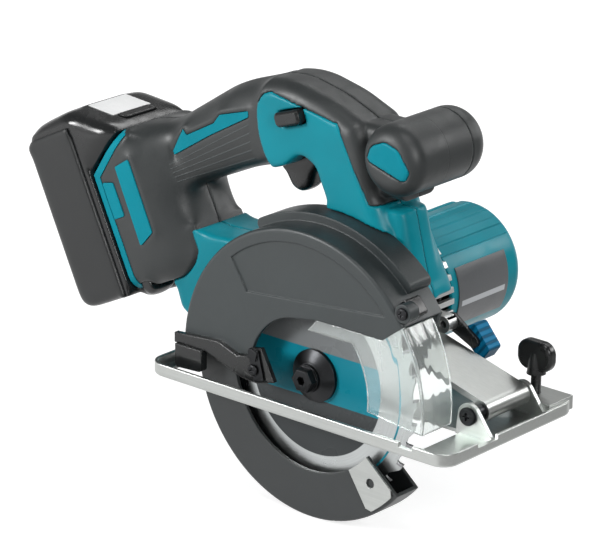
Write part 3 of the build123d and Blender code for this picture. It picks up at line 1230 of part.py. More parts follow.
# Rear housing: a block for the battery seat that narrows into the grip
with BuildPart() as rear_block:
    rear_middle = (REAR_LOW + REAR_HIGH) / 2
    with BuildSketch(pack_section(SEAT_U)):
        with Locations((0, rear_middle)):
            RectangleRounded(2 * REAR_HALF, REAR_HIGH - REAR_LOW, REAR_ROUND)
    extrude(amount=REAR_FLAT_U - SEAT_U)
    with BuildSketch(pack_section(REAR_FLAT_U)):
        with Locations((0, rear_middle)):
            RectangleRounded(2 * REAR_HALF, REAR_HIGH - REAR_LOW, REAR_ROUND)
    with BuildSketch(pack_section(REAR_NECK_U)):
        with Locations((0, (NECK_LOW + NECK_HIGH) / 2)):
            RectangleRounded(2 * REAR_NECK_HALF, NECK_HIGH - NECK_LOW, REAR_ROUND)
    loft()
    shoulder = rear_block.edges().filter_by(
        lambda e: abs(pack_section(REAR_FLAT_U).to_local_coords(e.center()).Z) < 0.01
    )
    fillet(shoulder, REAR_SHOULDER)
    with BuildSketch(pack_plane(REAR_HALF)):
        rise = (BEVEL_TOP[1] - BEVEL_W) / (BEVEL_TOP[0] - SEAT_U)
        Polygon(
            (SEAT_U - REAR_ROUND, BEVEL_W - rise * REAR_ROUND),
            (BEVEL_TOP[0] + REAR_ROUND, BEVEL_TOP[1] + rise * REAR_ROUND),
            (BEVEL_TOP[0], BEVEL_TOP[1] + 3 * REAR_ROUND),
            (SEAT_U - REAR_ROUND, BEVEL_TOP[1] + 3 * REAR_ROUND),
            align=None,
        )
    extrude(amount=2 * REAR_HALF, mode=Mode.SUBTRACT)

# Grip bar between the rear housing and the column
with BuildPart() as grip_bar:
    with BuildSketch(side_plane(GRIP_HALF)):
        with BuildLine():
            FilletPolyline(*GRIP_TOP, radius=GRIP_LINE_ROUND)
            ThreePointArc(GRIP_TOP[-1], BORDER_MIDDLE, GRIP_UNDERSIDE[0])
            FilletPolyline(*GRIP_UNDERSIDE, radius=GRIP_LINE_ROUND)
            Polyline(GRIP_UNDERSIDE[-1], (GRIP_TOP[0][0], GRIP_UNDERSIDE[-1][1]), GRIP_TOP[0])
        make_face()
    extrude(amount=2 * GRIP_HALF)
    grip_sides = grip_bar.edges().filter_by(lambda e: abs(abs(e.center().Y) - GRIP_HALF) < 0.01)
    grip_sides = grip_sides.filter_by(lambda e: GRIP_TOP[0][0] + 1.0 < e.center().X < OPENING[0][0] - 1.0)
    grip_sides = grip_sides.filter_by(lambda e: abs(e.center().X - BORDER_MIDDLE[0]) > 3.0)
    low_sides = grip_sides.filter_by(lambda e: e.center().Z < GRIP_SLOPE * e.center().X + GRIP_LOW_LINE)
    low_sides = low_sides.filter_by(lambda e: e.center().X > GRIP_UNDERSIDE[-1][0])
    fillet(low_sides, GRIP_ROUND * 0.6)
    top_sides = grip_bar.edges().filter_by(lambda e: abs(abs(e.center().Y) - GRIP_HALF) < 0.01)
    top_sides = top_sides.filter_by(lambda e: e.center().Z > GRIP_SLOPE * e.center().X + GRIP_HIGH_LINE)
    top_sides = top_sides.filter_by(lambda e: e.center().X > GRIP_TOP[0][0] + 1.0)
    fillet(top_sides, GRIP_ROUND)

# Both together, with the battery's rails cut in the back
with BuildPart() as grip_whole:
    add(rear_block.part)
    add(grip_bar.part)
    rail_middle = (REAR_LOW + REAR_HIGH) / 2
    rail_span = 2 * (REAR_HIGH - REAR_LOW)
    with BuildSketch(pack_section(SEAT_U)):
        with Locations((0, rail_middle)):
            Rectangle(2 * (RAIL_HALF - RAIL_LIP), rail_span)
    extrude(amount=RAIL_DEPTH, mode=Mode.SUBTRACT)
    with BuildSketch(pack_section(SEAT_U + RAIL_LIP_DEPTH)):
        with Locations((0, rail_middle)):
            Rectangle(2 * RAIL_HALF, rail_span)
    extrude(amount=RAIL_DEPTH - RAIL_LIP_DEPTH, mode=Mode.SUBTRACT)
    with BuildSketch(pack_section(SEAT_U + RAIL_DEPTH)):
        with Locations((0, TERMINAL_W)):
            Rectangle(2 * TERMINAL_HALF, TERMINAL_LENGTH)
    extrude(amount=TERMINAL_DEPTH, mode=Mode.SUBTRACT)
    with BuildSketch(side_plane(TRIGGER_HALF + GAP)):
        Polygon(*TRIGGER_SLOT, align=None)
    extrude(amount=2 * (TRIGGER_HALF + GAP), mode=Mode.SUBTRACT)
    with BuildSketch(side_plane(SWITCH_HALF)):
        Polygon(*SWITCH_BOX, align=None)
    extrude(amount=2 * SWITCH_HALF, mode=Mode.SUBTRACT)
    for face in (-REAR_HALF, REAR_HALF - PANEL_INSET):
        with BuildSketch(pack_plane(face + PANEL_INSET)):
            rounded_face(SIDE_PANEL, PANEL_ROUND)
            rounded_face(SIDE_TAB, PANEL_ROUND)
        extrude(amount=PANEL_INSET, mode=Mode.SUBTRACT)
    for place in GRIP_SCREWS:
        with BuildSketch(side_plane(GRIP_HALF + REAR_HALF, place)):
            Circle(SCREW_HEAD + SEAT)
        extrude(amount=REAR_HALF + SCREW_SINK, mode=Mode.SUBTRACT)
        with BuildSketch(side_plane(GRIP_HALF, place)):
            Circle(SMALL_SCREW + SEAT)
        extrude(amount=GRIP_HALF + SCREW_REACH, mode=Mode.SUBTRACT)


def strip_zone():
    """Adds the outline of the coloured frame round the battery seat to the sketch in progress."""
    Polygon(
        (SEAT_U - SEAT_STRIP, 0.8 * REAR_LOW),
        (SEAT_U - SEAT_STRIP, BEVEL_W),
        (BEVEL_TOP[0] - SEAT_STRIP, BEVEL_TOP[1] + SEAT_STRIP),
        (BEVEL_TOP[0] + 0.6 * SEAT_STRIP, BEVEL_TOP[1] - 0.8 * SEAT_STRIP),
        (SEAT_U + SEAT_STRIP, BEVEL_W - 0.6 * SEAT_STRIP),
        (SEAT_U + SEAT_STRIP, 0.8 * REAR_LOW),
        align=None,
    )


def half_of(part, side):
    """Adds one half of a moulded piece to the part in progress: -1 is the blade side, 1 the motor side."""
    add(part)
    split(bisect_by=Plane.XZ, keep=Keep.TOP if side < 0 else Keep.BOTTOM)


def grip_overmould(side):
    """One half of the grip and rear housing, without the coloured frame and inlay."""
    with BuildPart() as half:
        half_of(grip_whole.part, side)
        with BuildSketch(pack_plane(REAR_HALF)):
            strip_zone()
        extrude(amount=2 * REAR_HALF, mode=Mode.SUBTRACT)
        with BuildSketch(side_plane(side * (GRIP_HALF - INLAY_DEPTH))):
            Polygon(*INLAY, align=None)
        extrude(amount=-side * 2 * INLAY_DEPTH, mode=Mode.SUBTRACT)
    return half


keep("grip_overmould_right", grip_overmould(-1))
keep("grip_overmould_left", grip_overmould(1))

# Coloured frame on both sides of the battery seat
with BuildPart() as seat_frame:
    add(grip_whole.part)
    with BuildSketch(pack_plane(REAR_HALF)):
        strip_zone()
    extrude(amount=2 * REAR_HALF, mode=Mode.INTERSECT)
keep("seat_frame", seat_frame)

with BuildPart() as grip_inlays:
    add(grip_bar.part)
    with BuildSketch(side_plane(GRIP_HALF)):
        Polygon(*INLAY, align=None)
    extrude(amount=2 * GRIP_HALF, mode=Mode.INTERSECT)
    with BuildSketch(side_plane(GRIP_HALF - INLAY_DEPTH)):
        Polygon(*INLAY, align=None)
    extrude(amount=2 * (GRIP_HALF - INLAY_DEPTH), mode=Mode.SUBTRACT)
    add(rear_block.part, mode=Mode.SUBTRACT)
keep("grip_inlays", grip_inlays)

with BuildPart() as side_panels:
    for face in (-REAR_HALF + PANEL_INSET, REAR_HALF + PANEL_PROUD):
        with BuildSketch(pack_plane(face)):
            rounded_face(SIDE_PANEL, PANEL_ROUND)
            rounded_face(SIDE_TAB, PANEL_ROUND)
        extrude(amount=PANEL_INSET + PANEL_PROUD)
keep("side_panels", side_panels)

# Body: column, front and bridge, from which the shells and the column caps are taken
with BuildPart() as neck:
    with BuildSketch(Plane(origin=(NECK_BACK, 0, NECK_MIDDLE), x_dir=(0, 1, 0), z_dir=(1, 0, 0))):
        RectangleRounded(2 * NECK_HALF, NECK_HEIGHT, NECK_ROUND)
    extrude(amount=GRIP_X - NECK_BACK)

with BuildPart() as front_block:
    with BuildSketch(side_plane(BLOCK_HALF)):
        Polygon(*FRONT_BLOCK, align=None)
    extrude(amount=2 * BLOCK_HALF)
    block_edges = front_block.edges().filter_by(lambda e: abs(abs(e.center().Y) - BLOCK_HALF) < 0.01)
    block_middle = (FRONT_BLOCK[1][1] + FRONT_BLOCK[2][1]) / 2
    block_edges = block_edges.filter_by(lambda e: abs(e.center().Z - block_middle) < 5.0)
    chamfer(block_edges.sort_by(Axis.X)[-2:], BLOCK_SLOPE)

with BuildPart() as body:
    with BuildSketch(side_plane(SHELL_HALF)):
        with BuildLine():
            FilletPolyline(*HANDLE_TOP, radius=list(HANDLE_TOP_ROUNDS))
            Polyline(*COLUMN_FRONT)
            ThreePointArc(HANDLE_TOP[0], BORDER_MIDDLE, OPENING[0])
            FilletPolyline(*OPENING, radius=list(OPENING_ROUNDS))
            Polyline(*BODY_UNDERSIDE)
        make_face()
    extrude(amount=2 * SHELL_HALF)
    body_sides = body.edges().filter_by(lambda e: abs(abs(e.center().Y) - SHELL_HALF) < 0.01)
    body_sides = body_sides.filter_by(lambda e: e.center().X > BORDER_MIDDLE[0] + 5.0)
    body_sides = body_sides.filter_by(lambda e: e.center().Z > 164.0 or e.center().X > 17.0)
    fillet(body_sides.filter_by(lambda e: e.center().Z > COLUMN_FRONT[-1][1]), CAP_ROUND)
    add(neck.part)
    add(front_block.part)
    with BuildSketch(side_plane(GRIP_FAR, (GRIP_X, GRIP_Z))):
        Circle(GRIP_RADIUS)
    extrude(amount=GRIP_FAR - GRIP_NEAR, mode=Mode.SUBTRACT)
    # room for the blade case and the gear housing
    with BuildSketch(side_plane(GEARCASE_NEAR, SPINDLE)):
        Circle(HUMP_RADIUS + GAP)
    extrude(amount=SHELL_HALF, mode=Mode.SUBTRACT)
    with BuildSketch(side_plane(SHELL_HALF)):
        with Locations(SPINDLE):
            Circle(GEARCASE_SPINDLE_WALL)
        with Locations(COUNTER):
            Circle(GEARCASE_COUNTER_WALL)
        with Locations(MOTOR):
            Circle(GEARCASE_MOTOR_WALL)
        make_hull()
    extrude(amount=2 * SHELL_HALF, mode=Mode.SUBTRACT)
    add(rear_block.part, mode=Mode.SUBTRACT)
    # rooms for the trigger, switch, controller, lock-off button and screws
    with BuildSketch(side_plane(TRIGGER_HALF + GAP)):
        Polygon(*TRIGGER_SLOT, align=None)
    extrude(amount=2 * (TRIGGER_HALF + GAP), mode=Mode.SUBTRACT)
    with BuildSketch(side_plane(SWITCH_HALF)):
        Polygon(*SWITCH_BOX, align=None)
    extrude(amount=2 * SWITCH_HALF, mode=Mode.SUBTRACT)
    with BuildSketch(side_plane(CONTROLLER_HALF)):
        Polygon(*CONTROLLER_BOX, align=None)
    extrude(amount=2 * CONTROLLER_HALF, mode=Mode.SUBTRACT)
    with BuildSketch(side_plane(-SWITCH_HALF, (LOCK_X, LOCK_Z))):
        Rectangle(LOCK_LENGTH + 2 * GAP, LOCK_HEIGHT + 2 * GAP, rotation=LOCK_TILT)
    extrude(amount=SHELL_HALF, mode=Mode.SUBTRACT)
    for place in SHELL_SCREWS:
        with BuildSketch(side_plane(SHELL_HALF, place)):
            Circle(SCREW_HEAD + SEAT)
        extrude(amount=SCREW_SINK, mode=Mode.SUBTRACT)
        with BuildSketch(side_plane(SHELL_HALF, place)):
            Circle(SMALL_SCREW + SEAT)
        extrude(amount=SHELL_HALF + SCREW_REACH, mode=Mode.SUBTRACT)


def cap_zone():
    """Adds the outline of all that lies above and before the column's coloured side to the sketch."""
    beyond = GRIP_X + GRIP_Z
    above = 2 * GRIP_Z
    Polygon(*CAP_LINE, (beyond, CAP_LINE[-1][1]), (beyond, above), (CAP_LINE[0][0], above), align=None)


def handle_shell(side):
    """One half of the coloured shell."""
    with BuildPart() as half:
        half_of(body.part, side)
        with BuildSketch(side_plane(SHELL_HALF)):
            cap_zone()
        extrude(amount=2 * SHELL_HALF, mode=Mode.SUBTRACT)
    return half


def column_cap(side):
    """One half of the soft cap on the column, with the neck of the front grip."""
    with BuildPart() as half:
        half_of(body.part, side)
        with BuildSketch(side_plane(SHELL_HALF)):
            cap_zone()
        extrude(amount=2 * SHELL_HALF, mode=Mode.INTERSECT)
    return half


keep("handle_shell_right", handle_shell(-1))
keep("handle_shell_left", handle_shell(1))
keep("column_cap_right", column_cap(-1))
keep("column_cap_left", column_cap(1))


# Screws that hold the shells together, with their heads sunk in the motor side
with BuildPart() as handle_screws:
    for place, face in [(p, SHELL_HALF) for p in SHELL_SCREWS] + [(p, GRIP_HALF) for p in GRIP_SCREWS]:
        with BuildSketch(side_plane(face - 1.0, place)):
            Circle(SCREW_HEAD)
        extrude(amount=SCREW_SINK - 1.0)
        with BuildSketch(side_plane(face - SCREW_SINK, place)):
            Circle(SMALL_SCREW)
        extrude(amount=face - SCREW_SINK + SCREW_REACH - 1.0)
keep("handle_screws", handle_screws)

# Front grip across the column, its end cap and the coloured inset
with BuildPart() as grip_form:
    with BuildSketch(side_plane(GRIP_CAP_Y, (GRIP_X, GRIP_Z))):
        Circle(GRIP_RADIUS)
    extrude(amount=GRIP_CAP_Y - GRIP_NEAR)
    fillet(grip_form.faces().sort_by(Axis.Y)[0].edges(), GRIP_END_ROUND)

with BuildPart() as front_grip:
    add(grip_form.part)
    with BuildSketch(side_plane(GRIP_NEAR + INSET_DEPTH)):
        rounded_face(INSET, INSET_ROUNDS)
    extrude(amount=INSET_DEPTH, mode=Mode.SUBTRACT)
keep("front_grip", front_grip)

with BuildPart() as front_grip_inset:
    add(grip_form.part)
    with BuildSketch(side_plane(GRIP_NEAR + INSET_DEPTH)):
        rounded_face(INSET, INSET_ROUNDS)
        offset(amount=-SEAT, mode=Mode.REPLACE)
    extrude(amount=INSET_DEPTH, mode=Mode.INTERSECT)
keep("front_grip_inset", front_grip_inset)

with BuildPart() as front_grip_cap:
    with BuildSketch(side_plane(GRIP_FAR, (GRIP_X, GRIP_Z))):
        Circle(GRIP_RADIUS)
    extrude(amount=GRIP_FAR - GRIP_CAP_Y)
    fillet(front_grip_cap.faces().sort_by(Axis.Y)[-1].edges(), GRIP_DOME)
    chamfer(front_grip_cap.faces().sort_by(Axis.Y)[0].edges(), 0.5)
keep("front_grip_cap", front_grip_cap)

# Trigger, switch and lock-off button
with BuildPart() as trigger:
    with BuildSketch(side_plane(TRIGGER_HALF)):
        rounded_face(TRIGGER, TRIGGER_ROUNDS)
    extrude(amount=2 * TRIGGER_HALF)
    trigger_sides = trigger.edges().filter_by(lambda e: abs(abs(e.center().Y) - TRIGGER_HALF) < 0.01)
    fillet(trigger_sides.filter_by(lambda e: e.center().Z < TRIGGER[0][1] - 1.0), 1.8)
keep("trigger", trigger)

with BuildPart() as switch_unit:
    with BuildSketch(side_plane(SWITCH_HALF - SEAT)):
        Polygon(*SWITCH_BOX, align=None)
    extrude(amount=2 * (SWITCH_HALF - SEAT))
    chamfer(switch_unit.edges().filter_by(Axis.Y), 1.0)
keep("switch_unit", switch_unit)

with BuildPart() as lock_off_button:
    with BuildSketch(side_plane(-SWITCH_HALF - LOCK_TRAVEL - GAP, (LOCK_X, LOCK_Z))):
        RectangleRounded(LOCK_LENGTH, LOCK_HEIGHT, LOCK_HEIGHT * 0.35, rotation=LOCK_TILT)
    extrude(amount=SHELL_HALF + LOCK_PROUD - SWITCH_HALF - LOCK_TRAVEL - GAP)
    chamfer(lock_off_button.faces().sort_by(Axis.Y)[0].edges(), 1.4)
keep("lock_off_button", lock_off_button)

with BuildPart() as controller:
    with BuildSketch(side_plane(CONTROLLER_HALF - SEAT)):
        Polygon(*CONTROLLER_BOX, align=None)
    extrude(amount=2 * (CONTROLLER_HALF - SEAT))
    chamfer(controller.edges().filter_by(Axis.Y), 1.0)
keep("controller", controller)

# Battery terminal on the floor of the rails
with BuildPart() as battery_terminal:
    with BuildSketch(pack_section(SEAT_U + RAIL_DEPTH)):
        with Locations((0, TERMINAL_W)):
            Rectangle(2 * (TERMINAL_HALF - SEAT), TERMINAL_LENGTH - 2 * SEAT)
    extrude(amount=TERMINAL_DEPTH)
    with BuildSketch(pack_section(SEAT_U + RAIL_DEPTH)):
        with Locations(*[(y, TERMINAL_W) for y in BLADE_CONTACTS]):
            Rectangle(CONTACT_THICKNESS, TERMINAL_LENGTH * 0.6)
    extrude(amount=-CONTACT_DEPTH)
keep("battery_terminal", battery_terminal)

# Battery: charcoal case, black cap with the rails, blank label and release button
CAP_HALF = PACK_HALF - CAP_INSET
with BuildPart() as battery_case:
    with BuildSketch(pack_plane(PACK_HALF)):
        rounded_face(
            (
                (PACK_BACK_U, PACK_LOW),
                (PACK_BACK_U, PACK_SHOULDER),
                (PACK_SPLIT_U, PACK_SHOULDER),
                (PACK_SPLIT_U, PACK_LOW),
            ),
            [PACK_ROUND, PACK_ROUND, 0.0, 0.0],
        )
    extrude(amount=2 * PACK_HALF)
    fillet(battery_case.edges().filter_by(lambda e: abs(abs(e.center().Y) - PACK_HALF) < 0.01), PACK_EDGE)
    with BuildSketch(pack_section(PACK_BACK_U)):
        with Locations((0, PACK_SHOULDER)):
            Rectangle(2 * CAP_HALF, 2 * CAP_BITE)
    extrude(amount=PACK_SPLIT_U - PACK_BACK_U, mode=Mode.SUBTRACT)
keep("battery_case", battery_case)

CAP_BACK_U = PACK_BACK_U + 0.5
with BuildPart() as battery_cap:
    with BuildSketch(pack_plane(CAP_HALF - SEAT)):
        rounded_face(
            (
                (CAP_BACK_U, PACK_SHOULDER - CAP_BITE),
                (CAP_BACK_U, PACK_RIDGE[1] - CAP_DROP),
                PACK_RIDGE,
                PACK_NOSE,
                (BEVEL_TOP[0] - 2.0, BEVEL_TOP[1] + GAP + 1.0),
                (PACK_FRONT_U, BEVEL_W + GAP + 2.0),
                (PACK_FRONT_U, PACK_LOW),
                (PACK_SPLIT_U, PACK_LOW),
                (PACK_SPLIT_U, PACK_SHOULDER - CAP_BITE),
            ),
            [0.0, 12.0, 6.0, 4.0, 2.0, 0.0, 2.0, 0.0, 0.0],
        )
    extrude(amount=2 * (CAP_HALF - SEAT))
    cap_sides = battery_cap.edges().filter_by(lambda e: abs(abs(e.center().Y) - CAP_HALF + SEAT) < 0.01)
    lean = pack_plane(0)
    cap_foot = PACK_SHOULDER - 0.5 * CAP_BITE
    cap_sides = cap_sides.filter_by(lambda e: lean.to_local_coords(e.center()).Y > cap_foot)
    fillet(cap_sides, CAP_BITE)
    # rails
    rail_mid = (RAIL_LOW + RAIL_HIGH) / 2
    with BuildSketch(pack_section(PACK_FRONT_U)):
        with Locations((0, rail_mid)):
            Rectangle(2 * (RAIL_HALF - RAIL_LIP - GAP), RAIL_HIGH - RAIL_LOW)
    extrude(amount=SEAT_U + RAIL_DEPTH - GAP - PACK_FRONT_U)
    with BuildSketch(pack_section(SEAT_U + RAIL_LIP_DEPTH + GAP)):
        with Locations((0, rail_mid)):
            Rectangle(2 * (RAIL_HALF - GAP), RAIL_HIGH - RAIL_LOW)
    extrude(amount=RAIL_DEPTH - RAIL_LIP_DEPTH - 2 * GAP)
    # slots for the contacts, open at the bottom
    with BuildSketch(pack_section(SEAT_U + RAIL_DEPTH)):
        slot_top = TERMINAL_W + TERMINAL_LENGTH * 0.3 + GAP
        with Locations(*[(y, (RAIL_LOW + slot_top) / 2) for y in BLADE_CONTACTS]):
            Rectangle(CONTACT_THICKNESS + 2 * GAP, slot_top - RAIL_LOW)
    extrude(amount=-(CONTACT_DEPTH + GAP), mode=Mode.SUBTRACT)
    # pocket for the release button
    with BuildSketch(ridge_plane()):
        with Locations((BUTTON_START + BUTTON_LENGTH / 2, 0)):
            Rectangle(BUTTON_LENGTH + 2 * GAP, 2 * (BUTTON_HALF + GAP))
    extrude(amount=-(BUTTON_SINK + BUTTON_TRAVEL + GAP), mode=Mode.SUBTRACT)
keep("battery_cap", battery_cap)

with BuildPart() as battery_button:
    with BuildSketch(ridge_plane().offset(-BUTTON_SINK)):
        with Locations((BUTTON_START + BUTTON_LENGTH / 2, 0)):
            RectangleRounded(BUTTON_LENGTH, 2 * BUTTON_HALF, 1.5)
    extrude(amount=BUTTON_SINK + 1.0)
keep("battery_button", battery_button)

with BuildPart() as battery_label:
    with BuildSketch(ridge_plane()):
        with Locations((LABEL_LENGTH / 2 + 1.8, 0)):
            Rectangle(LABEL_LENGTH - 1.8, 2 * LABEL_HALF)
    extrude(amount=LABEL_THICKNESS)
keep("battery_label", battery_label)
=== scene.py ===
"""Finishes, moulded skins, small pieces and studio for a cordless metal-cutting circular saw."""

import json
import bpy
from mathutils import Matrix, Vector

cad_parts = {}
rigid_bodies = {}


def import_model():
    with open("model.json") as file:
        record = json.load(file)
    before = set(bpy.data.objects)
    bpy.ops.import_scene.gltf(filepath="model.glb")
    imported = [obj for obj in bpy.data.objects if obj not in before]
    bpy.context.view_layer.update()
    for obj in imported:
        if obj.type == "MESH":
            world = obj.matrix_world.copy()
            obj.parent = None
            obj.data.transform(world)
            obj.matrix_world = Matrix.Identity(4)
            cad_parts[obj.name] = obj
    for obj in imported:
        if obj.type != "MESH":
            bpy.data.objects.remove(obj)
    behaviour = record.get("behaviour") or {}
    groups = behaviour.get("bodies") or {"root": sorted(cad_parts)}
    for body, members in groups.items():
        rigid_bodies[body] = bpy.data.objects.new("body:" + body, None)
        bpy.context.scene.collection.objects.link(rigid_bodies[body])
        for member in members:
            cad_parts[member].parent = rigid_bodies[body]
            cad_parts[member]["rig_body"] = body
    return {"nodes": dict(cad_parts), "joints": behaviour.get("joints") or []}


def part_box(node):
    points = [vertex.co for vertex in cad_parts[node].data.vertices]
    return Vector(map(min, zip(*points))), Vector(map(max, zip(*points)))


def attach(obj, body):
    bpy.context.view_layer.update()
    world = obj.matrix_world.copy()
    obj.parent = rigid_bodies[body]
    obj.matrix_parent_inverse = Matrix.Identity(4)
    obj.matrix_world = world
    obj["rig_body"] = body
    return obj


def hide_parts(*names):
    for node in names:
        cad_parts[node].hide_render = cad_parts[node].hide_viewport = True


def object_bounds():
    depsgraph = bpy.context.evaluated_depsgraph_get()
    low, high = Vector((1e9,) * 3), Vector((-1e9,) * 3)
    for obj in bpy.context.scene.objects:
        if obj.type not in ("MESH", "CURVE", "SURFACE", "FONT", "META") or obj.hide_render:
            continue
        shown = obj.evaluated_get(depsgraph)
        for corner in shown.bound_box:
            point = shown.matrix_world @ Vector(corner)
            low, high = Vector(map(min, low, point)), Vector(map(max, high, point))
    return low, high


bl_info = {
    "name": "Cordless Circular Saw",
    "version": (1, 0, 0),
    "blender": (4, 5, 0),
    "location": "3D View > Sidebar > Saw",
    "description": "Dresses the packed circular saw with its finishes, small pieces and studio",
    "category": "Object",
}

from math import atan2, cos, pi, radians, sin

import bmesh
import bpy
import numpy as np
from bpy.props import FloatProperty, FloatVectorProperty, IntProperty, PointerProperty
from mathutils import Matrix, Vector
from mathutils.bvhtree import BVHTree

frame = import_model()
CAD_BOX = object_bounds()
PHOTO_WIDTH = 605
SENSOR = 36.0
VIEW_LIMIT = 50.0

BLADE_LOW, BLADE_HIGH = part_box("saw_blade")
BLADE_CENTRE = (BLADE_LOW + BLADE_HIGH) / 2
BLADE_RADIUS = (BLADE_HIGH.x - BLADE_LOW.x) / 2
BLADE_THICKNESS = BLADE_HIGH.y - BLADE_LOW.y
PLATE_LOW, PLATE_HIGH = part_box("motor_plate")
PLATE_CENTRE = (PLATE_LOW + PLATE_HIGH) / 2
PLATE_HALF = (PLATE_HIGH.y - PLATE_LOW.y) / 2
COVER_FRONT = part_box("clear_cover")[1].x

# Blade: printed fields and ring as shares of the radius, and the tips' place on the teeth
PRINT_RIM = 0.65
PRINT_LEVEL = 0.2
RING_INNER = 0.83
RING_OUTER = 0.85
TIP_SET_BACK = 0.0031
TIP_LEAN = 0.35
TIP_FLARE = 60.0

# Motor plate: light stripe below the middle, kept off the plate's ends
STRIPE_DROP = 0.0035
STRIPE_HALF = 0.0016
STRIPE_MARGIN = 0.003
STRIPE_FADE = 0.0003
STRIPE_COLOUR = (0.5, 0.52, 0.54)

# Grip ribs: lines along the top and foot of the ribbed field, its ends and its flanks
RIB_COUNT = 4.0
RIB_TOP_SLOPE = 0.6078
RIB_TOP_START = 0.19
RIB_LOW_SLOPE = 0.452
RIB_LOW_START = 0.1581
RIB_BACK = -0.0645
RIB_FRONT = -0.0485
RIB_FADE = 0.001
RIB_BACK_LEAN = 0.55
RIB_FRONT_LEAN = 0.12
RIB_FLANK = (0.0125, 0.0145)
PAD_ROWS = (0.8, 0.0, -0.6)
PAD_PITCH = 0.0042

# Clear cover: depth of the bend at its front, height of the streaks in it, light that passes
COVER_BEND = 0.03
COVER_WAVE = 0.00035
COVER_CLEAR = 0.92
COVER_INDEX = 1.49
COVER_SHADOW = (0.86, 0.88, 0.87, 1.0)
METAL_EDGE = 0.0004

# Skins: sharp edges of dressed pieces, joined points, room beside sliding pieces
SHARP_ANGLE = radians(32.0)
JOIN_DISTANCE = 2e-6
FLAT_DISTANCE = 1e-7
NORMAL_WEIGHT = 80
SLIDE_STEPS = 6
SLIDE_REACH = 0.0012
SLIDE_CLEARANCE = 0.0008

# Studio: fading of the walls with height and towards the front, and the floor with its reflection
WALL_FADE = (0.05, 0.32)
FLAG_FADE = (0.25, 0.6)
FLAG_SPAN = 0.08
FLOOR_GREY = 0.45
FLOOR_HALF = 4.0
FLOOR_DROP = 0.0002
FLOOR_FADE = (0.4, 1.6)
FLOOR_MIRROR = (0.9, 0.15)
LAMP_AIM = (-0.03, 0.0, 0.06)
LAMPS = (
    ("Key", (0.35, -0.45, 1.45), (0.5, 0.3)),
    ("Fill", (-1.05, -1.6, 0.8), (0.5, 0.6)),
    ("Side", (1.4, -0.7, 0.8), (0.3, 0.7)),
    ("Rim", (-0.3, 1.1, 1.3), (1.5, 0.25)),
    ("Back", (0.9, 1.5, 0.8), (0.8, 0.5)),
)


def colour_setting(name, description, default):
    """A colour that a user may change, in linear values."""
    return FloatVectorProperty(
        name=name, description=description, default=default, subtype="COLOR", size=3, min=0.0, max=1.0
    )


def length_setting(name, description, default, least=0.0):
    """A length that a user may change, in metres."""
    return FloatProperty(
        name=name, description=description, default=default, unit="LENGTH", subtype="DISTANCE", min=least
    )


def angle_setting(name, description, default):
    """An angle that a user may change."""
    return FloatProperty(name=name, description=description, default=radians(default), subtype="ANGLE")


def level_setting(name, description, default):
    """A plain number that a user may change."""
    return FloatProperty(name=name, description=description, default=default, min=0.0)


def count_setting(name, description, default, least=0):
    """A whole number that a user may change."""
    return IntProperty(name=name, description=description, default=default, min=least)


def power_setting(name, description, default):
    """A lamp's power that a user may change, in watts."""
    return FloatProperty(name=name, description=description, default=default, unit="POWER", min=0.0)


class SawColours(bpy.types.PropertyGroup):
    """Colours of the saw's finishes."""

    teal: colour_setting("Teal shell", "Moulded shells and motor housing", (0.003, 0.232, 0.292))
    trim: colour_setting("Teal trim", "Inlays, edge strip and side panels", (0.003, 0.232, 0.3))
    pad: colour_setting("Lever pad", "Pad of the shaft-lock lever", (0.004, 0.17, 0.34))
    grip: colour_setting("Soft grip", "Overmould on the handles", (0.018, 0.0215, 0.022))
    black: colour_setting("Black plastic", "Trigger, battery top and controls", (0.010, 0.0108, 0.0112))
    case: colour_setting("Case black", "Blade case", (0.02, 0.027, 0.0285))
    guard: colour_setting("Guard grey", "Lower guard", (0.02, 0.0235, 0.0245))
    battery: colour_setting("Battery shell", "Side shell of the battery", (0.012, 0.0135, 0.014))
    label: colour_setting("Blank label", "Bare label on the battery", (0.84, 0.85, 0.85))
    plate: colour_setting("Plate grey", "Bare plate on the motor housing", (0.1, 0.105, 0.11))
    sheet: colour_setting("Sheet steel", "Base, ears, arm and end plate", (0.5, 0.515, 0.5))
    cast: colour_setting("Cast aluminium", "Gear housing and its bars", (0.62, 0.63, 0.62))
    blade: colour_setting("Blade steel", "Body of the saw blade", (0.5, 0.52, 0.52))
    print_teal: colour_setting("Blade print, teal", "Plain middle field on the blade", (0.004, 0.2, 0.27))
    print_dark: colour_setting("Blade print, dark", "Plain lower field on the blade", (0.045, 0.05, 0.052))
    print_pale: colour_setting("Blade print, pale", "Plain upper field on the blade", (0.17, 0.18, 0.185))
    carbide: colour_setting("Carbide", "Tips of the blade's teeth", (0.3, 0.3, 0.31))
    dark_steel: colour_setting("Dark steel", "Flange, bolts and pins", (0.035, 0.036, 0.038))
    bright_steel: colour_setting("Bright steel", "Shafts, gears and screws", (0.6, 0.6, 0.6))
    cover: colour_setting("Clear cover", "Clear window in front of the blade", (0.93, 0.97, 0.955))


class SawSizes(bpy.types.PropertyGroup):
    """Sizes of the carbide tips and the moulded skins."""

    tip_count: count_setting("Tips", "Carbide tips on the blade", 32, 3)
    tip_height: length_setting("Tip height", "Carbide tip along the blade's radius", 0.0038)
    tip_width: length_setting("Tip width", "Carbide tip along the cutting direction", 0.0018)
    tip_thickness: length_setting("Tip thickness", "Carbide tip across the blade", BLADE_THICKNESS * 1.25)
    mould_grain: length_setting("Mould grain", "Mesh width of the moulded skins", 0.0008)
    mould_reach: length_setting("Mould reach", "Rim beside a neighbour that keeps its shape", 0.0025)
    mould_share: level_setting("Kept share", "Share of its faces that a moulded skin keeps", 0.45)
    mould_rounds: count_setting("Edge rounding", "Smoothing passes over all edges", 3)
    blend_passes: count_setting("Blending", "Smoothing passes of free surfaces", 700)


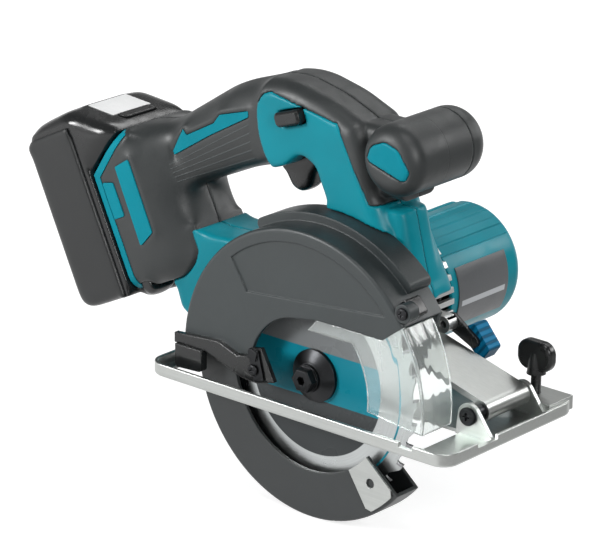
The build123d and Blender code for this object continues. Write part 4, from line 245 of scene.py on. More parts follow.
class SawStage(bpy.types.PropertyGroup):
    """Camera and light of the studio."""

    azimuth: angle_setting("Azimuth", "Camera's turn from the blade side towards the front", 40.6545)
    elevation: angle_setting("Elevation", "Camera's height angle", 19.5572)
    roll: angle_setting("Roll", "Camera's roll", 0.556)
    focal_pixels: level_setting("Focal length", "In photograph pixels", 3488.63)
    aim_right: length_setting("Aim right", "Camera's offset to its right", -0.030997, -1.0)
    aim_up: length_setting("Aim up", "Camera's offset upwards", 0.06241)
    distance: length_setting("Distance", "Camera's distance along its view", 2.02502)
    ambient: level_setting("Ambient", "World light on the object", 0.11)
    ceiling: level_setting("Ceiling", "Level of the dim ceiling in reflections", 0.2)
    floor_glow: level_setting("Floor glow", "White of the floor as seen near the saw", 0.76)
    key_power: power_setting("Key", "Softbox high above the saw", 6.0)
    fill_power: power_setting("Fill", "Softbox on the blade side, towards the battery", 32.0)
    side_power: power_setting("Side", "Softbox before the saw", 13.0)
    rim_power: power_setting("Rim", "Strip above the motor side", 6.5)
    back_power: power_setting("Back", "Softbox on the motor side, towards the front", 10.0)


def feed(tree, node, links):
    """Links outputs to a node's inputs."""
    for key, output in links.items():
        tree.links.new(output, node.inputs[key])


def put(tree, kind, values=None, links=None, **settings):
    """Adds a node with its settings, input values and links, and returns it."""
    node = tree.nodes.new(kind)
    for key, value in settings.items():
        setattr(node, key, value)
    for key, value in (values or {}).items():
        node.inputs[key].default_value = value
    feed(tree, node, links or {})
    return node


def maths(tree, operation, first, second=None, third=None):
    """A Math node on outputs or numbers; returns its output."""
    node = put(tree, "ShaderNodeMath", operation=operation)
    for index, value in enumerate((first, second, third)):
        if value is None:
            continue
        if isinstance(value, (int, float)):
            node.inputs[index].default_value = value
        else:
            tree.links.new(value, node.inputs[index])
    return node.outputs[0]


def times(tree, first, second):
    """The product of two outputs or numbers."""
    return maths(tree, "MULTIPLY", first, second)


def between(tree, value, low, high, to_low=0.0, to_high=1.0):
    """A smooth, clamped Map Range of an output; returns its output."""
    node = put(
        tree,
        "ShaderNodeMapRange",
        {"From Min": low, "From Max": high, "To Min": to_low, "To Max": to_high},
        {"Value": value},
        interpolation_type="SMOOTHSTEP",
    )
    return node.outputs["Result"]


def mixed(tree, factor, first, second):
    """A colour Mix of two colours or outputs; returns its output."""
    node = put(tree, "ShaderNodeMix", data_type="RGBA")
    for key, value in (("Factor", factor), ("A", first), ("B", second)):
        socket = [s for s in node.inputs if s.name == key and s.enabled][0]
        if isinstance(value, bpy.types.NodeSocket):
            tree.links.new(value, socket)
        elif key == "Factor":
            socket.default_value = value
        else:
            socket.default_value = (*value, 1.0)
    return [s for s in node.outputs if s.enabled][0]


def noise(tree, vector, scale, detail, **more):
    """The level of a Noise texture at a vector."""
    values = {"Scale": scale, "Detail": detail, **more}
    return put(tree, "ShaderNodeTexNoise", values, {"Vector": vector}).outputs["Fac"]


def axes_of(tree, vector):
    """The X, Y and Z outputs of a vector."""
    return put(tree, "ShaderNodeSeparateXYZ", links={"Vector": vector}).outputs


def vector_of(tree, **parts):
    """A vector of the given X, Y and Z outputs."""
    return put(tree, "ShaderNodeCombineXYZ", links=parts).outputs[0]


def length_of(tree, vector):
    """The length of a vector."""
    return put(tree, "ShaderNodeVectorMath", links={0: vector}, operation="LENGTH").outputs["Value"]


def dot_of(tree, first, second):
    """The dot product of two vectors."""
    node = put(tree, "ShaderNodeVectorMath", links={0: first, 1: second}, operation="DOT_PRODUCT")
    return node.outputs["Value"]


def from_centre(tree, place, centre):
    """Coordinates that count from a centre."""
    shift = tuple(-part for part in centre)
    return put(tree, "ShaderNodeMapping", {"Location": shift}, {"Vector": place}).outputs["Vector"]


def shade_of(colour, factor):
    """A colour made lighter or darker."""
    return tuple(min(1.0, part * factor) for part in colour)


def new_group(name, inputs, outputs):
    """An empty shader group with its sockets, vectors where no default is given; returns tree and ends."""
    tree = bpy.data.node_groups.new(name, "ShaderNodeTree")
    for label, default in inputs.items():
        kind = "NodeSocketVector" if default is None else "NodeSocketFloat"
        socket = tree.interface.new_socket(label, in_out="INPUT", socket_type=kind)
        if default is not None:
            socket.default_value = default
    for label in outputs:
        kind = "NodeSocketVector" if label == "Normal" else "NodeSocketFloat"
        tree.interface.new_socket(label, in_out="OUTPUT", socket_type=kind)
    return tree, tree.nodes.new("NodeGroupInput").outputs, tree.nodes.new("NodeGroupOutput")


def moulded_grain_group():
    """Fine stipple of moulded plastic: a height for bump and a slow drift of tone."""
    tree, given, out = new_group("Moulded grain", {"Vector": None, "Scale": 1500.0}, ("Height", "Tone"))
    vector, scale = given["Vector"], given["Scale"]
    both = {"Vector": vector, "Scale": scale}
    fine = put(tree, "ShaderNodeTexNoise", {"Detail": 3.0, "Roughness": 0.6}, both)
    both = {"Vector": vector, "Scale": times(tree, scale, 0.7)}
    pits = put(tree, "ShaderNodeTexVoronoi", links=both, feature="SMOOTH_F1")
    height = maths(tree, "MULTIPLY_ADD", pits.outputs["Distance"], 0.8, fine.outputs["Fac"])
    slow = noise(tree, vector, 28.0, 4.0)
    feed(tree, out, {"Height": height, "Tone": between(tree, slow, 0.3, 0.7)})
    return tree


def edge_wear_and_highlight_group():
    """Softly rounded edges: a rounded normal, and a broken mask along the edges for wear and a painted
    edge highlight.
    """
    tree, given, out = new_group("Edge wear and highlight", {"Vector": None, "Radius": 0.0005}, ("Edge", "Normal"))
    soft = put(tree, "ShaderNodeBevel", links={"Radius": given["Radius"]}, samples=6)
    plain = put(tree, "ShaderNodeNewGeometry")
    same = dot_of(tree, soft.outputs["Normal"], plain.outputs["Normal"])
    bent = maths(tree, "SUBTRACT", 1.0, same)
    breaks = noise(tree, given["Vector"], 420.0, 5.0)
    edge = times(tree, between(tree, bent, 0.01, 0.16), between(tree, breaks, 0.36, 0.62))
    feed(tree, out, {"Edge": edge, "Normal": soft.outputs["Normal"]})
    return tree


def handling_group():
    """Marks of use: faint smears for the gloss, and dust on surfaces that face up."""
    tree, given, out = new_group("Handling marks", {"Vector": None}, ("Smear", "Dust"))
    vector = given["Vector"]
    broad = noise(tree, vector, 60.0, 6.0, Distortion=0.8)
    specks = noise(tree, vector, 900.0, 2.0)
    up = axes_of(tree, put(tree, "ShaderNodeNewGeometry").outputs["Normal"])["Z"]
    dust = times(tree, between(tree, up, 0.2, 1.0), between(tree, specks, 0.5, 0.75))
    feed(tree, out, {"Smear": between(tree, broad, 0.3, 0.7), "Dust": dust})
    return tree


def drawn_lines_group():
    """Lines of rolled, ground or brushed metal along the X of the given vector."""
    tree, given, out = new_group("Drawn lines", {"Vector": None, "Scale": 900.0}, ("Height", "Tone"))
    vector, scale = given["Vector"], given["Scale"]
    squeeze = {1: (0.02, 1.0, 1.0)}
    stretch = put(tree, "ShaderNodeVectorMath", squeeze, {0: vector}, operation="MULTIPLY")
    both = {"Vector": stretch.outputs[0], "Scale": scale}
    lines = put(tree, "ShaderNodeTexNoise", {"Detail": 4.0, "Roughness": 0.65}, both)
    cloud = noise(tree, vector, 45.0, 4.0)
    feed(tree, out, {"Height": lines.outputs["Fac"], "Tone": between(tree, cloud, 0.3, 0.7)})
    return tree


def parting_line_group():
    """A fine seam where two mouldings meet in the plane Y = 0."""
    tree, given, out = new_group("Parting line", {"Vector": None, "Width": 0.00035}, ("Line",))
    across = axes_of(tree, given["Vector"])["Y"]
    share = maths(tree, "DIVIDE", maths(tree, "ABSOLUTE", across), given["Width"])
    feed(tree, out, {"Line": between(tree, share, 0.4, 1.0, 1.0, 0.0)})
    return tree


def grip_ribs_group():
    """A fan of fine ribs along both sides of the rear grip: rib lines and the field they stand in."""
    tree, given, out = new_group("Grip ribs", {"Vector": None, "Ribs": RIB_COUNT}, ("Line", "Field"))
    along, side, height = axes_of(tree, given["Vector"])
    top = maths(tree, "MULTIPLY_ADD", along, RIB_TOP_SLOPE, RIB_TOP_START)
    low = maths(tree, "MULTIPLY_ADD", along, RIB_LOW_SLOPE, RIB_LOW_START)
    drop = maths(tree, "DIVIDE", maths(tree, "SUBTRACT", top, height), maths(tree, "SUBTRACT", top, low))
    inside = times(tree, between(tree, drop, -0.06, -0.02), between(tree, drop, 1.02, 1.06, 1.0, 0.0))
    back = maths(tree, "MULTIPLY_ADD", height, RIB_BACK_LEAN, along)
    front = maths(tree, "MULTIPLY_ADD", height, RIB_FRONT_LEAN, along)
    ends = times(
        tree,
        between(tree, back, RIB_BACK, RIB_BACK + RIB_FADE),
        between(tree, front, RIB_FRONT - RIB_FADE, RIB_FRONT, 1.0, 0.0),
    )
    flank = between(tree, maths(tree, "ABSOLUTE", side), *RIB_FLANK)
    field = times(tree, times(tree, inside, ends), flank)
    step = maths(tree, "PINGPONG", times(tree, drop, given["Ribs"]), 0.5)
    line = times(tree, between(tree, step, 0.05, 0.11, 1.0, 0.0), field)
    feed(tree, out, {"Line": line, "Field": field})
    return tree


def cross_ribs_group():
    """Straight moulded ribs in rows along a direction: a rounded height."""
    inputs = {"Vector": None, "Direction": None, "Pitch": PAD_PITCH}
    tree, given, out = new_group("Cross ribs", inputs, ("Height",))
    run = dot_of(tree, given["Vector"], given["Direction"])
    step = maths(tree, "PINGPONG", maths(tree, "DIVIDE", run, given["Pitch"]), 0.5)
    feed(tree, out, {"Height": between(tree, step, 0.1, 0.32)})
    return tree


GROUPS = {}


def make_groups():
    """Builds the shared shader groups once."""
    GROUPS.update(
        grain=moulded_grain_group(),
        edge=edge_wear_and_highlight_group(),
        handling=handling_group(),
        drawn=drawn_lines_group(),
        parting=parting_line_group(),
        grip_ribs=grip_ribs_group(),
        cross_ribs=cross_ribs_group(),
    )


def use_group(tree, name, vector, **values):
    """Places a shared group at a vector; returns its outputs."""
    return put(tree, "ShaderNodeGroup", values, {"Vector": vector}, node_tree=GROUPS[name]).outputs


def blank_material(name):
    """A material with a plain shader; returns material, tree, shader and object coordinates."""
    material = bpy.data.materials.new(name)
    material.use_nodes = True
    tree = material.node_tree
    tree.nodes.clear()
    shader = put(tree, "ShaderNodeBsdfPrincipled")
    put(tree, "ShaderNodeOutputMaterial", links={"Surface": shader.outputs["BSDF"]})
    place = put(tree, "ShaderNodeTexCoord").outputs["Object"]
    return material, tree, shader, place


def bump(tree, height, normal, strength, distance):
    """A normal with a height laid over it."""
    values = {"Strength": strength, "Distance": distance}
    return put(tree, "ShaderNodeBump", values, {"Height": height, "Normal": normal}).outputs["Normal"]


def bumped(tree, shader, height, normal, strength, distance):
    """Feeds a height over a rounded normal to the shader."""
    feed(tree, shader, {"Normal": bump(tree, height, normal, strength, distance)})


def plastic(
    name, colour, gloss, grain=1500.0, depth=0.00004, edge=1.5, radius=0.0005, sheen=0.2, extra=None
):
    """Moulded plastic with stipple, edges lightened as wear and as a painted highlight, faint smears and
    dust.
    """
    material, tree, shader, place = blank_material(name)
    stipple = use_group(tree, "grain", place, Scale=grain)
    worn_and_lit = use_group(tree, "edge", place, Radius=radius)
    marks = use_group(tree, "handling", place)
    tone = mixed(tree, stipple["Tone"], shade_of(colour, 0.93), shade_of(colour, 1.06))
    # Edges lightened by the edge factor: partly wear, partly a painted highlight
    tone = mixed(tree, times(tree, worn_and_lit["Edge"], 0.45), tone, shade_of(colour, edge))
    dusty = tuple(0.85 * part + 0.03 for part in colour)
    tone = mixed(tree, times(tree, marks["Dust"], 0.35), tone, dusty)
    height = stipple["Height"]
    if extra:
        tone, height = extra(tree, place, tone, height, colour)
    rough = between(tree, marks["Smear"], 0.0, 1.0, gloss - 0.04, gloss + 0.05)
    feed(tree, shader, {"Base Color": tone, "Roughness": rough})
    shader.inputs["Specular IOR Level"].default_value = sheen
    bumped(tree, shader, height, worn_and_lit["Normal"], 0.5, depth)
    return material


def with_seam(tree, place, tone, height, colour):
    """Adds the fine seam between the two mouldings."""
    line = use_group(tree, "parting", place)["Line"]
    tone = mixed(tree, times(tree, line, 0.75), tone, shade_of(colour, 0.2))
    return tone, maths(tree, "MULTIPLY_ADD", line, -4.0, height)


def with_grip_ribs(tree, place, tone, height, colour):
    """Adds the seam and the fan of ribs on the grip's sides, with painted shade over the ribbed field and
    a painted highlight on each rib.
    """
    tone, height = with_seam(tree, place, tone, height, colour)
    ribs = use_group(tree, "grip_ribs", place, Ribs=RIB_COUNT)
    # Painted shade: the ribbed field darkened
    tone = mixed(tree, times(tree, ribs["Field"], 0.45), tone, shade_of(colour, 0.45))
    # Painted highlight: each rib line lightened
    tone = mixed(tree, times(tree, ribs["Line"], 0.75), tone, shade_of(colour, 3.2))
    return tone, maths(tree, "MULTIPLY_ADD", ribs["Line"], 9.0, height)


def with_rows(direction, pitch):
    """Adds straight ribs in rows along a direction, with painted shade in the grooves between them."""

    def add_rows(tree, place, tone, height, colour):
        rows = use_group(tree, "cross_ribs", place, Direction=direction, Pitch=pitch)
        # Painted shade: the grooves between the ribs darkened
        tone = mixed(tree, rows["Height"], shade_of(colour, 0.45), tone)
        return tone, maths(tree, "MULTIPLY_ADD", rows["Height"], 14.0, height)

    return add_rows


def metal(name, colour, gloss, turn=(0.0, 0.0, 0.0), lines=900.0, depth=0.00002, edge=1.25, cloud=0.06):
    """Bare metal with drawn lines, bright edges that are partly rubbed and partly a painted highlight, and
    cloudy gloss.
    """
    material, tree, shader, place = blank_material(name)
    turned = put(tree, "ShaderNodeMapping", {"Rotation": turn}, {"Vector": place}).outputs["Vector"]
    drawn = use_group(tree, "drawn", turned, Scale=lines)
    worn_and_lit = use_group(tree, "edge", place, Radius=METAL_EDGE)
    marks = use_group(tree, "handling", place)
    tone = mixed(tree, drawn["Height"], shade_of(colour, 0.82), shade_of(colour, 1.12))
    tone = mixed(tree, times(tree, drawn["Tone"], 0.3), tone, shade_of(colour, 0.85))
    # Bright edges: partly rubbed wear, partly a painted highlight
    tone = mixed(tree, times(tree, worn_and_lit["Edge"], 0.6), tone, shade_of(colour, edge))
    rough = between(tree, marks["Smear"], 0.0, 1.0, gloss - cloud, gloss + cloud)
    feed(tree, shader, {"Base Color": tone, "Roughness": rough})
    shader.inputs["Metallic"].default_value = 1.0
    bumped(tree, shader, drawn["Height"], worn_and_lit["Normal"], 0.35, depth)
    return material


def ring_place(tree, place, centre):
    """Polar coordinates round the Y axis through a centre: radius, turn and height outputs."""
    across, _, up = axes_of(tree, from_centre(tree, place, centre))
    radius = length_of(tree, vector_of(tree, X=across, Y=up))
    turn = maths(tree, "ARCTAN2", up, across)
    return radius, turn, up


def blade_finish(colours):
    """Ground blade steel with ring marks, and plain printed fields inside a fine printed ring."""
    material, tree, shader, place = blank_material("Blade_Steel")
    radius, turn, up = ring_place(tree, place, BLADE_CENTRE)
    ring = vector_of(tree, X=times(tree, turn, 0.03), Y=radius)
    drawn = use_group(tree, "drawn", ring, Scale=2600.0)
    worn_and_lit = use_group(tree, "edge", place, Radius=0.0003)
    steel = colours.blade
    tone = mixed(tree, drawn["Height"], shade_of(steel, 0.72), shade_of(steel, 1.25))
    share = maths(tree, "DIVIDE", radius, BLADE_RADIUS)
    level = maths(tree, "DIVIDE", up, BLADE_RADIUS)
    fade = 0.003
    dark, teal, pale = colours.print_dark, colours.print_teal, colours.print_pale
    inner = between(tree, share, PRINT_RIM - 0.005, PRINT_RIM, 1.0, 0.0)
    line = times(
        tree,
        between(tree, share, RING_INNER, RING_INNER + fade),
        between(tree, share, RING_OUTER, RING_OUTER - fade),
    )
    field = mixed(tree, between(tree, level, -PRINT_LEVEL, -PRINT_LEVEL + fade), dark, teal)
    field = mixed(tree, between(tree, level, PRINT_LEVEL, PRINT_LEVEL + fade), field, pale)
    field = mixed(tree, line, field, teal)
    rubbed = noise(tree, place, 220.0, 6.0)
    printed = times(tree, maths(tree, "MAXIMUM", inner, line), between(tree, rubbed, 0.2, 0.27))
    tone = mixed(tree, printed, tone, field)
    links = {
        "Base Color": tone,
        "Metallic": maths(tree, "SUBTRACT", 1.0, printed),
        "Roughness": between(tree, drawn["Tone"], 0.0, 1.0, 0.26, 0.36),
    }
    feed(tree, shader, links)
    shader.inputs["Specular IOR Level"].default_value = 0.2
    bumped(tree, shader, drawn["Height"], worn_and_lit["Normal"], 0.3, 0.00002)
    return material


def clear_finish(colours):
    """Clear moulded plastic with a faint haze, streaks in its bend, and light let through."""
    material, tree, shader, place = blank_material("Clear_Cover")
    marks = use_group(tree, "handling", place)
    worn_and_lit = use_group(tree, "edge", place, Radius=0.0008)
    drawn = use_group(tree, "drawn", place, Scale=260.0)
    tint = colours.cover
    # Edges a little lighter: partly wear, partly a painted highlight
    tone = mixed(tree, worn_and_lit["Edge"], tint, shade_of(tint, 1.05))
    links = {
        "Base Color": tone,
        "Roughness": between(tree, marks["Smear"], 0.0, 1.0, 0.03, 0.08),
    }
    feed(tree, shader, links)
    shader.inputs["Transmission Weight"].default_value = COVER_CLEAR
    shader.inputs["IOR"].default_value = COVER_INDEX
    tall = put(tree, "ShaderNodeMapping", {"Scale": (1.0, 1.0, 0.02)}, {"Vector": place}).outputs["Vector"]
    flow = noise(tree, tall, 190.0, 0.0)
    along = axes_of(tree, place)["X"]
    bend = between(tree, along, COVER_FRONT - COVER_BEND, COVER_FRONT - 0.6 * COVER_BEND)
    waves = bump(tree, times(tree, flow, bend), worn_and_lit["Normal"], 1.0, COVER_WAVE)
    bumped(tree, shader, drawn["Height"], waves, 0.25, 0.00004)
    shadow = put(tree, "ShaderNodeLightPath").outputs["Is Shadow Ray"]
    through = put(tree, "ShaderNodeBsdfTransparent", {"Color": COVER_SHADOW})
    shaders = {0: shadow, 1: shader.outputs["BSDF"], 2: through.outputs["BSDF"]}
    both = put(tree, "ShaderNodeMixShader", links=shaders)
    out = [node for node in tree.nodes if node.bl_idname == "ShaderNodeOutputMaterial"][0]
    feed(tree, out, {"Surface": both.outputs[0]})
    return material


def plate_finish(colours):
    """Satin grey foil with one plain light stripe."""
    material, tree, shader, place = blank_material("Plate_Grey")
    marks = use_group(tree, "handling", place)
    drawn = use_group(tree, "drawn", place, Scale=1200.0)
    worn_and_lit = use_group(tree, "edge", place, Radius=METAL_EDGE)
    grey = colours.plate
    tone = mixed(tree, drawn["Height"], shade_of(grey, 0.85), shade_of(grey, 1.15))
    _, along, up = axes_of(tree, from_centre(tree, place, PLATE_CENTRE))
    end = PLATE_HALF - STRIPE_MARGIN
    near_middle = between(tree, maths(tree, "ABSOLUTE", along), end, end + STRIPE_FADE, 1.0, 0.0)
    off = maths(tree, "ABSOLUTE", maths(tree, "ADD", up, STRIPE_DROP))
    stripe = between(tree, off, STRIPE_HALF, STRIPE_HALF + STRIPE_FADE, 1.0, 0.0)
    tone = mixed(tree, times(tree, stripe, near_middle), tone, STRIPE_COLOUR)
    links = {
        "Base Color": tone,
        "Roughness": between(tree, marks["Smear"], 0.0, 1.0, 0.3, 0.4),
    }
    feed(tree, shader, links)
    bumped(tree, shader, drawn["Height"], worn_and_lit["Normal"], 0.2, 0.00001)
    return material


FINISHES = {}


def make_finishes(colours):
    """Builds every finish of the saw by its slot's name."""
    turn_y = (0.0, 0.0, pi / 2)
    pad_rows = with_rows(PAD_ROWS, PAD_PITCH)
    # Plastics: gloss, grain, its depth, edge lightening (wear and painted highlight), edge radius, sheen;
    # metals: gloss, turn, lines, depth
    FINISHES.update(
        teal_shell=plastic(
            "Teal_Shell", colours.teal, 0.32, 1500.0, 0.00003, 1.35, 0.0012, 0.18, with_seam
        ),
        teal_trim=plastic("Teal_Trim", colours.trim, 0.34, 1500.0, 0.00003, 1.4, 0.0004, 0.1),
        lever_pad=plastic("Lever_Pad", colours.pad, 0.42, 1500.0, 0.00005, 1.4, 0.0004, 0.1, pad_rows),
        soft_grip=plastic(
            "Soft_Grip", colours.grip, 0.46, 1900.0, 0.00005, 1.8, 0.001, 0.55, with_grip_ribs
        ),
        black_plastic=plastic("Black_Plastic", colours.black, 0.24, 1600.0, 0.00001, 2.2, 0.0014, 0.5),
        case_black=plastic("Case_Black", colours.case, 0.44, 1100.0, 0.00006, 2.0, 0.0012, 0.6),
        guard_grey=plastic("Guard_Grey", colours.guard, 0.42, 1300.0, 0.00005, 2.0, 0.001, 0.55),
        battery_shell=plastic("Battery_Shell", colours.battery, 0.34, 1700.0, 0.00002, 2.4, 0.002, 0.45),
        blank_label=plastic("Blank_Label", colours.label, 0.4, 900.0, 0.00001, 1.0, 0.0003, 0.3),
        circuit=plastic("Circuit_Board", (0.01, 0.09, 0.03), 0.4, 800.0, 0.00005),
        plate_grey=plate_finish(colours),
        sheet_steel=metal("Sheet_Steel", colours.sheet, 0.36, lines=800.0, cloud=0.015),
        cast_aluminium=metal("Cast_Aluminium", colours.cast, 0.42, turn_y, 500.0, 0.00005),
        dark_steel=metal("Dark_Steel", colours.dark_steel, 0.36, turn_y, 900.0, 0.00002, 2.5),
        bright_steel=metal("Bright_Steel", colours.bright_steel, 0.25, turn_y, 900.0),
        stack_steel=metal("Stack_Steel", (0.35, 0.34, 0.33), 0.45, lines=2200.0),
        carbide=metal("Carbide", colours.carbide, 0.3, lines=1500.0),
        blade_steel=blade_finish(colours),
        clear_cover=clear_finish(colours),
    )


# The record's material slot of each CAD node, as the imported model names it
SLOTS = {name: thing.data.materials[0].name for name, thing in frame["nodes"].items()}


def joined_copy(node, sharp):
    """A copy of a CAD node's mesh with its triangles joined, and its edges sharp past an angle."""
    mesh = frame["nodes"][node].data.copy()
    mesh.name = node + "_skin"
    custom = mesh.attributes.get("custom_normal")
    if custom is not None:
        mesh.attributes.remove(custom)
    grown = bmesh.new()
    grown.from_mesh(mesh)
    bmesh.ops.remove_doubles(grown, verts=grown.verts, dist=JOIN_DISTANCE)
    bmesh.ops.dissolve_degenerate(grown, edges=grown.edges, dist=FLAT_DISTANCE)
    for face in grown.faces:
        face.smooth = True
    for edge in grown.edges:
        edge.smooth = edge.is_manifold and edge.calc_face_angle(pi) < sharp
    grown.to_mesh(mesh)
    grown.free()
    return mesh


def settled(piece):
    """Turns a piece with modifiers into a plain mesh in place."""
    graph = bpy.context.evaluated_depsgraph_get()
    mesh = bpy.data.meshes.new_from_object(piece.evaluated_get(graph))
    piece.modifiers.clear()
    piece.data = mesh
    mesh.name = piece.name
    return piece


def stand_in(piece, node, finish=None):
    """Gives a piece its finish and puts it in the place of a CAD node."""
    slot = SLOTS[node]
    piece.data.materials.clear()
    piece.data.materials.append(FINISHES[finish or slot])
    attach(piece, frame["nodes"][node]["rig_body"])
    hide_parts(node)
    return piece


def skin_piece(node, sharp):
    """A new piece with a copy of a CAD node's mesh."""
    piece = bpy.data.objects.new(node + "_skin", joined_copy(node, sharp))
    bpy.context.scene.collection.objects.link(piece)
    return piece


def dress(node, finish=None):
    """Stands a smooth-shaded copy in for a visible CAD node, with its finish."""
    piece = skin_piece(node, SHARP_ANGLE)
    even = piece.modifiers.new("Even normals", "WEIGHTED_NORMAL")
    even.keep_sharp = True
    even.weight = NORMAL_WEIGHT
    return stand_in(settled(piece), node, finish)


def search_tree(node, shifts=(Vector(),)):
    """A tree that finds the nearest point on a CAD node, at rest or at several shifts."""
    grown = bmesh.new()
    for shift in shifts:
        copy = frame["nodes"][node].data.copy()
        copy.transform(Matrix.Translation(shift))
        grown.from_mesh(copy)
        bpy.data.meshes.remove(copy)
    tree = BVHTree.FromBMesh(grown)
    grown.free()
    return tree


def joint_of(node):
    """The joint that a CAD node's body moves on."""
    return [item for item in frame["joints"] if item["child"] == frame["nodes"][node]["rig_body"]][0]


def lean_of(node):
    """The turn that stands the slide of a CAD node upright."""
    axis = joint_of(node)["axis"]
    return Matrix.Rotation(atan2(-axis[0], axis[2]), 4, "Y")


def travel_of(node):
    """Steps of a sliding CAD node along its joint, from one limit to the other."""
    joint = joint_of(node)
    axis = Vector(joint["axis"])
    low, high = joint["range_m"]
    return [axis * (low + (high - low) * step / SLIDE_STEPS) for step in range(SLIDE_STEPS + 1)]


def clear_slides(mesh, node, movers):
    """Sets the vertices beside a sliding piece's path back to the CAD surface or a clear distance."""
    surface = search_tree(node)
    for mover in movers:
        path = search_tree(mover, travel_of(mover))
        for vertex in mesh.vertices:
            if path.find_nearest(vertex.co, SLIDE_REACH)[0] is None:
                continue
            seat = surface.find_nearest(vertex.co)[0]
            nearest = path.find_nearest(seat)[0]
            away = seat - nearest
            vertex.co = nearest + away.normalized() * max(away.length, SLIDE_CLEARANCE)


def freedom(mesh, neighbours, reach, plane):
    """How freely each vertex may move: not within reach of a neighbour, fully past twice the reach."""
    trees = [search_tree(node) for node in neighbours]
    free = np.ones(len(mesh.vertices))
    for vertex in mesh.vertices:
        gaps = [tree.find_nearest(vertex.co, 2 * reach)[3] for tree in trees]
        gap = min([2 * reach] + [found for found in gaps if found is not None])
        if plane:
            gap = min(gap, abs(vertex.co.y))
        free[vertex.index] = max(0.0, gap / reach - 1.0)
    return free


def relax(mesh, free, passes):
    """Draws each vertex towards its neighbours, as far as it is free, many times over."""
    count = len(mesh.vertices)
    points = np.empty(3 * count)
    mesh.vertices.foreach_get("co", points)
    points = points.reshape(-1, 3)
    ends = np.empty(2 * len(mesh.edges), dtype=np.int32)
    mesh.edges.foreach_get("vertices", ends)
    first, second = ends.reshape(-1, 2).T
    around = np.bincount(ends, minlength=count)[:, None]
    pull = 0.5 * np.asarray(free).reshape(-1, 1) * np.ones((count, 1))
    for _ in range(passes):
        total = np.empty_like(points)
        for axis in range(3):
            total[:, axis] = np.bincount(first, points[second, axis], count)
            total[:, axis] += np.bincount(second, points[first, axis], count)
        points += pull * (total / around - points)
    mesh.vertices.foreach_set("co", points.ravel())
    mesh.update()


def mould(node, neighbours, passes, plane=True, movers=(), lean=Matrix()):
    """Stands a moulded skin in for a CAD node: rounded edges, and forms blended away from neighbours."""
    sizes = bpy.context.scene.saw_sizes
    piece = skin_piece(node, pi)
    even = piece.modifiers.new("Even mesh", "REMESH")
    even.mode = "VOXEL"
    even.voxel_size = sizes.mould_grain
    even.use_smooth_shade = True
    piece.data.transform(lean)
    settled(piece)
    piece.data.transform(lean.inverted())
    relax(piece.data, freedom(piece.data, neighbours, sizes.mould_reach, plane), passes)
    relax(piece.data, 1.0, sizes.mould_rounds)
    clear_slides(piece.data, node, movers)
    thin = piece.modifiers.new("Fewer faces", "DECIMATE")
    thin.ratio = sizes.mould_share
    return stand_in(settled(piece), node)


def paint(node):
    """Gives an inner CAD node its finish."""
    data = frame["nodes"][node].data
    data.materials.clear()
    data.materials.append(FINISHES[SLOTS[node]])


class SAW_OT_finishes(bpy.types.Operator):
    """Builds the shared shader groups and every finish"""

    bl_idname = "saw.finishes"
    bl_label = "Finishes"

    def execute(self, context):
        make_groups()
        make_finishes(context.scene.saw_colours)
        return {"FINISHED"}


class SAW_OT_handle(bpy.types.Operator):
    """Dresses the handle shells, overmoulds, inlays and battery seat"""

    bl_idname = "saw.handle"
    bl_label = "Handle"

    def execute(self, context):
        for node in ("grip_inlays", "side_panels", "seat_frame", "handle_screws", "front_grip_cap"):
            dress(node)
        passes = context.scene.saw_sizes.blend_passes
        shells = ("handle_shell_right", "handle_shell_left", "handle_screws")
        rear = ("grip_inlays", "side_panels", "seat_frame", "battery_cap", "gear_housing", "trigger")
        front = ("front_grip", "front_grip_cap", "gear_housing")
        mould("front_grip", ("front_grip_cap", "front_grip_inset"), 0, plane=False)
        mould("front_grip_inset", ("front_grip",), 0, plane=False)
        for side in ("right", "left"):
            grip, cap, shell = "grip_overmould_" + side, "column_cap_" + side, "handle_shell_" + side
            mould(grip, (*shells, *rear, cap), passes, movers=("trigger",))
            mould(cap, (*shells, *front, grip), 0)
            beside = (grip, cap, *rear, *front, "blade_case", "lock_off_button", "handle_screws")
            mould(shell, beside, passes // 16, movers=("trigger", "lock_off_button"))
        return {"FINISHED"}


class SAW_OT_controls(bpy.types.Operator):
    """Dresses the trigger, buttons, levers and wing bolt"""

    bl_idname = "saw.controls"
    bl_label = "Controls"

    def execute(self, context):
        for node in ("lock_off_button", "depth_lever", "wing_bolt"):
            dress(node)
        beside = ("handle_shell_right", "handle_shell_left", "grip_overmould_right", "grip_overmould_left")
        mould("trigger", (*beside, "switch_unit"), context.scene.saw_sizes.blend_passes // 8, plane=False)
        dress("lock_lever", "black_plastic")
        dress("lock_pad", "lever_pad")
        return {"FINISHED"}


class SAW_OT_battery(bpy.types.Operator):
    """Dresses the battery, its top, bare label and release button"""

    bl_idname = "saw.battery"
    bl_label = "Battery"

    def execute(self, context):
        passes = context.scene.saw_sizes.blend_passes
        dress("battery_label")
        dress("battery_button")
        lean = lean_of("battery_case")
        mould("battery_case", ("battery_cap",), passes // 8, plane=False, lean=lean)
        parts = ("battery_case", "battery_label", "battery_button", "battery_terminal")
        beside = (*parts, "seat_frame", "grip_overmould_right", "grip_overmould_left")
        mould("battery_cap", beside, passes // 4, plane=False, movers=("battery_button",), lean=lean)
        return {"FINISHED"}


class SAW_OT_motor(bpy.types.Operator):
    """Dresses the motor housing, its bare plate and the gear housing"""

    bl_idname = "saw.motor"
    bl_label = "Motor"

    def execute(self, context):
        for node in ("motor_housing", "motor_plate", "gear_housing", "cooling_fan"):
            dress(node)
        return {"FINISHED"}


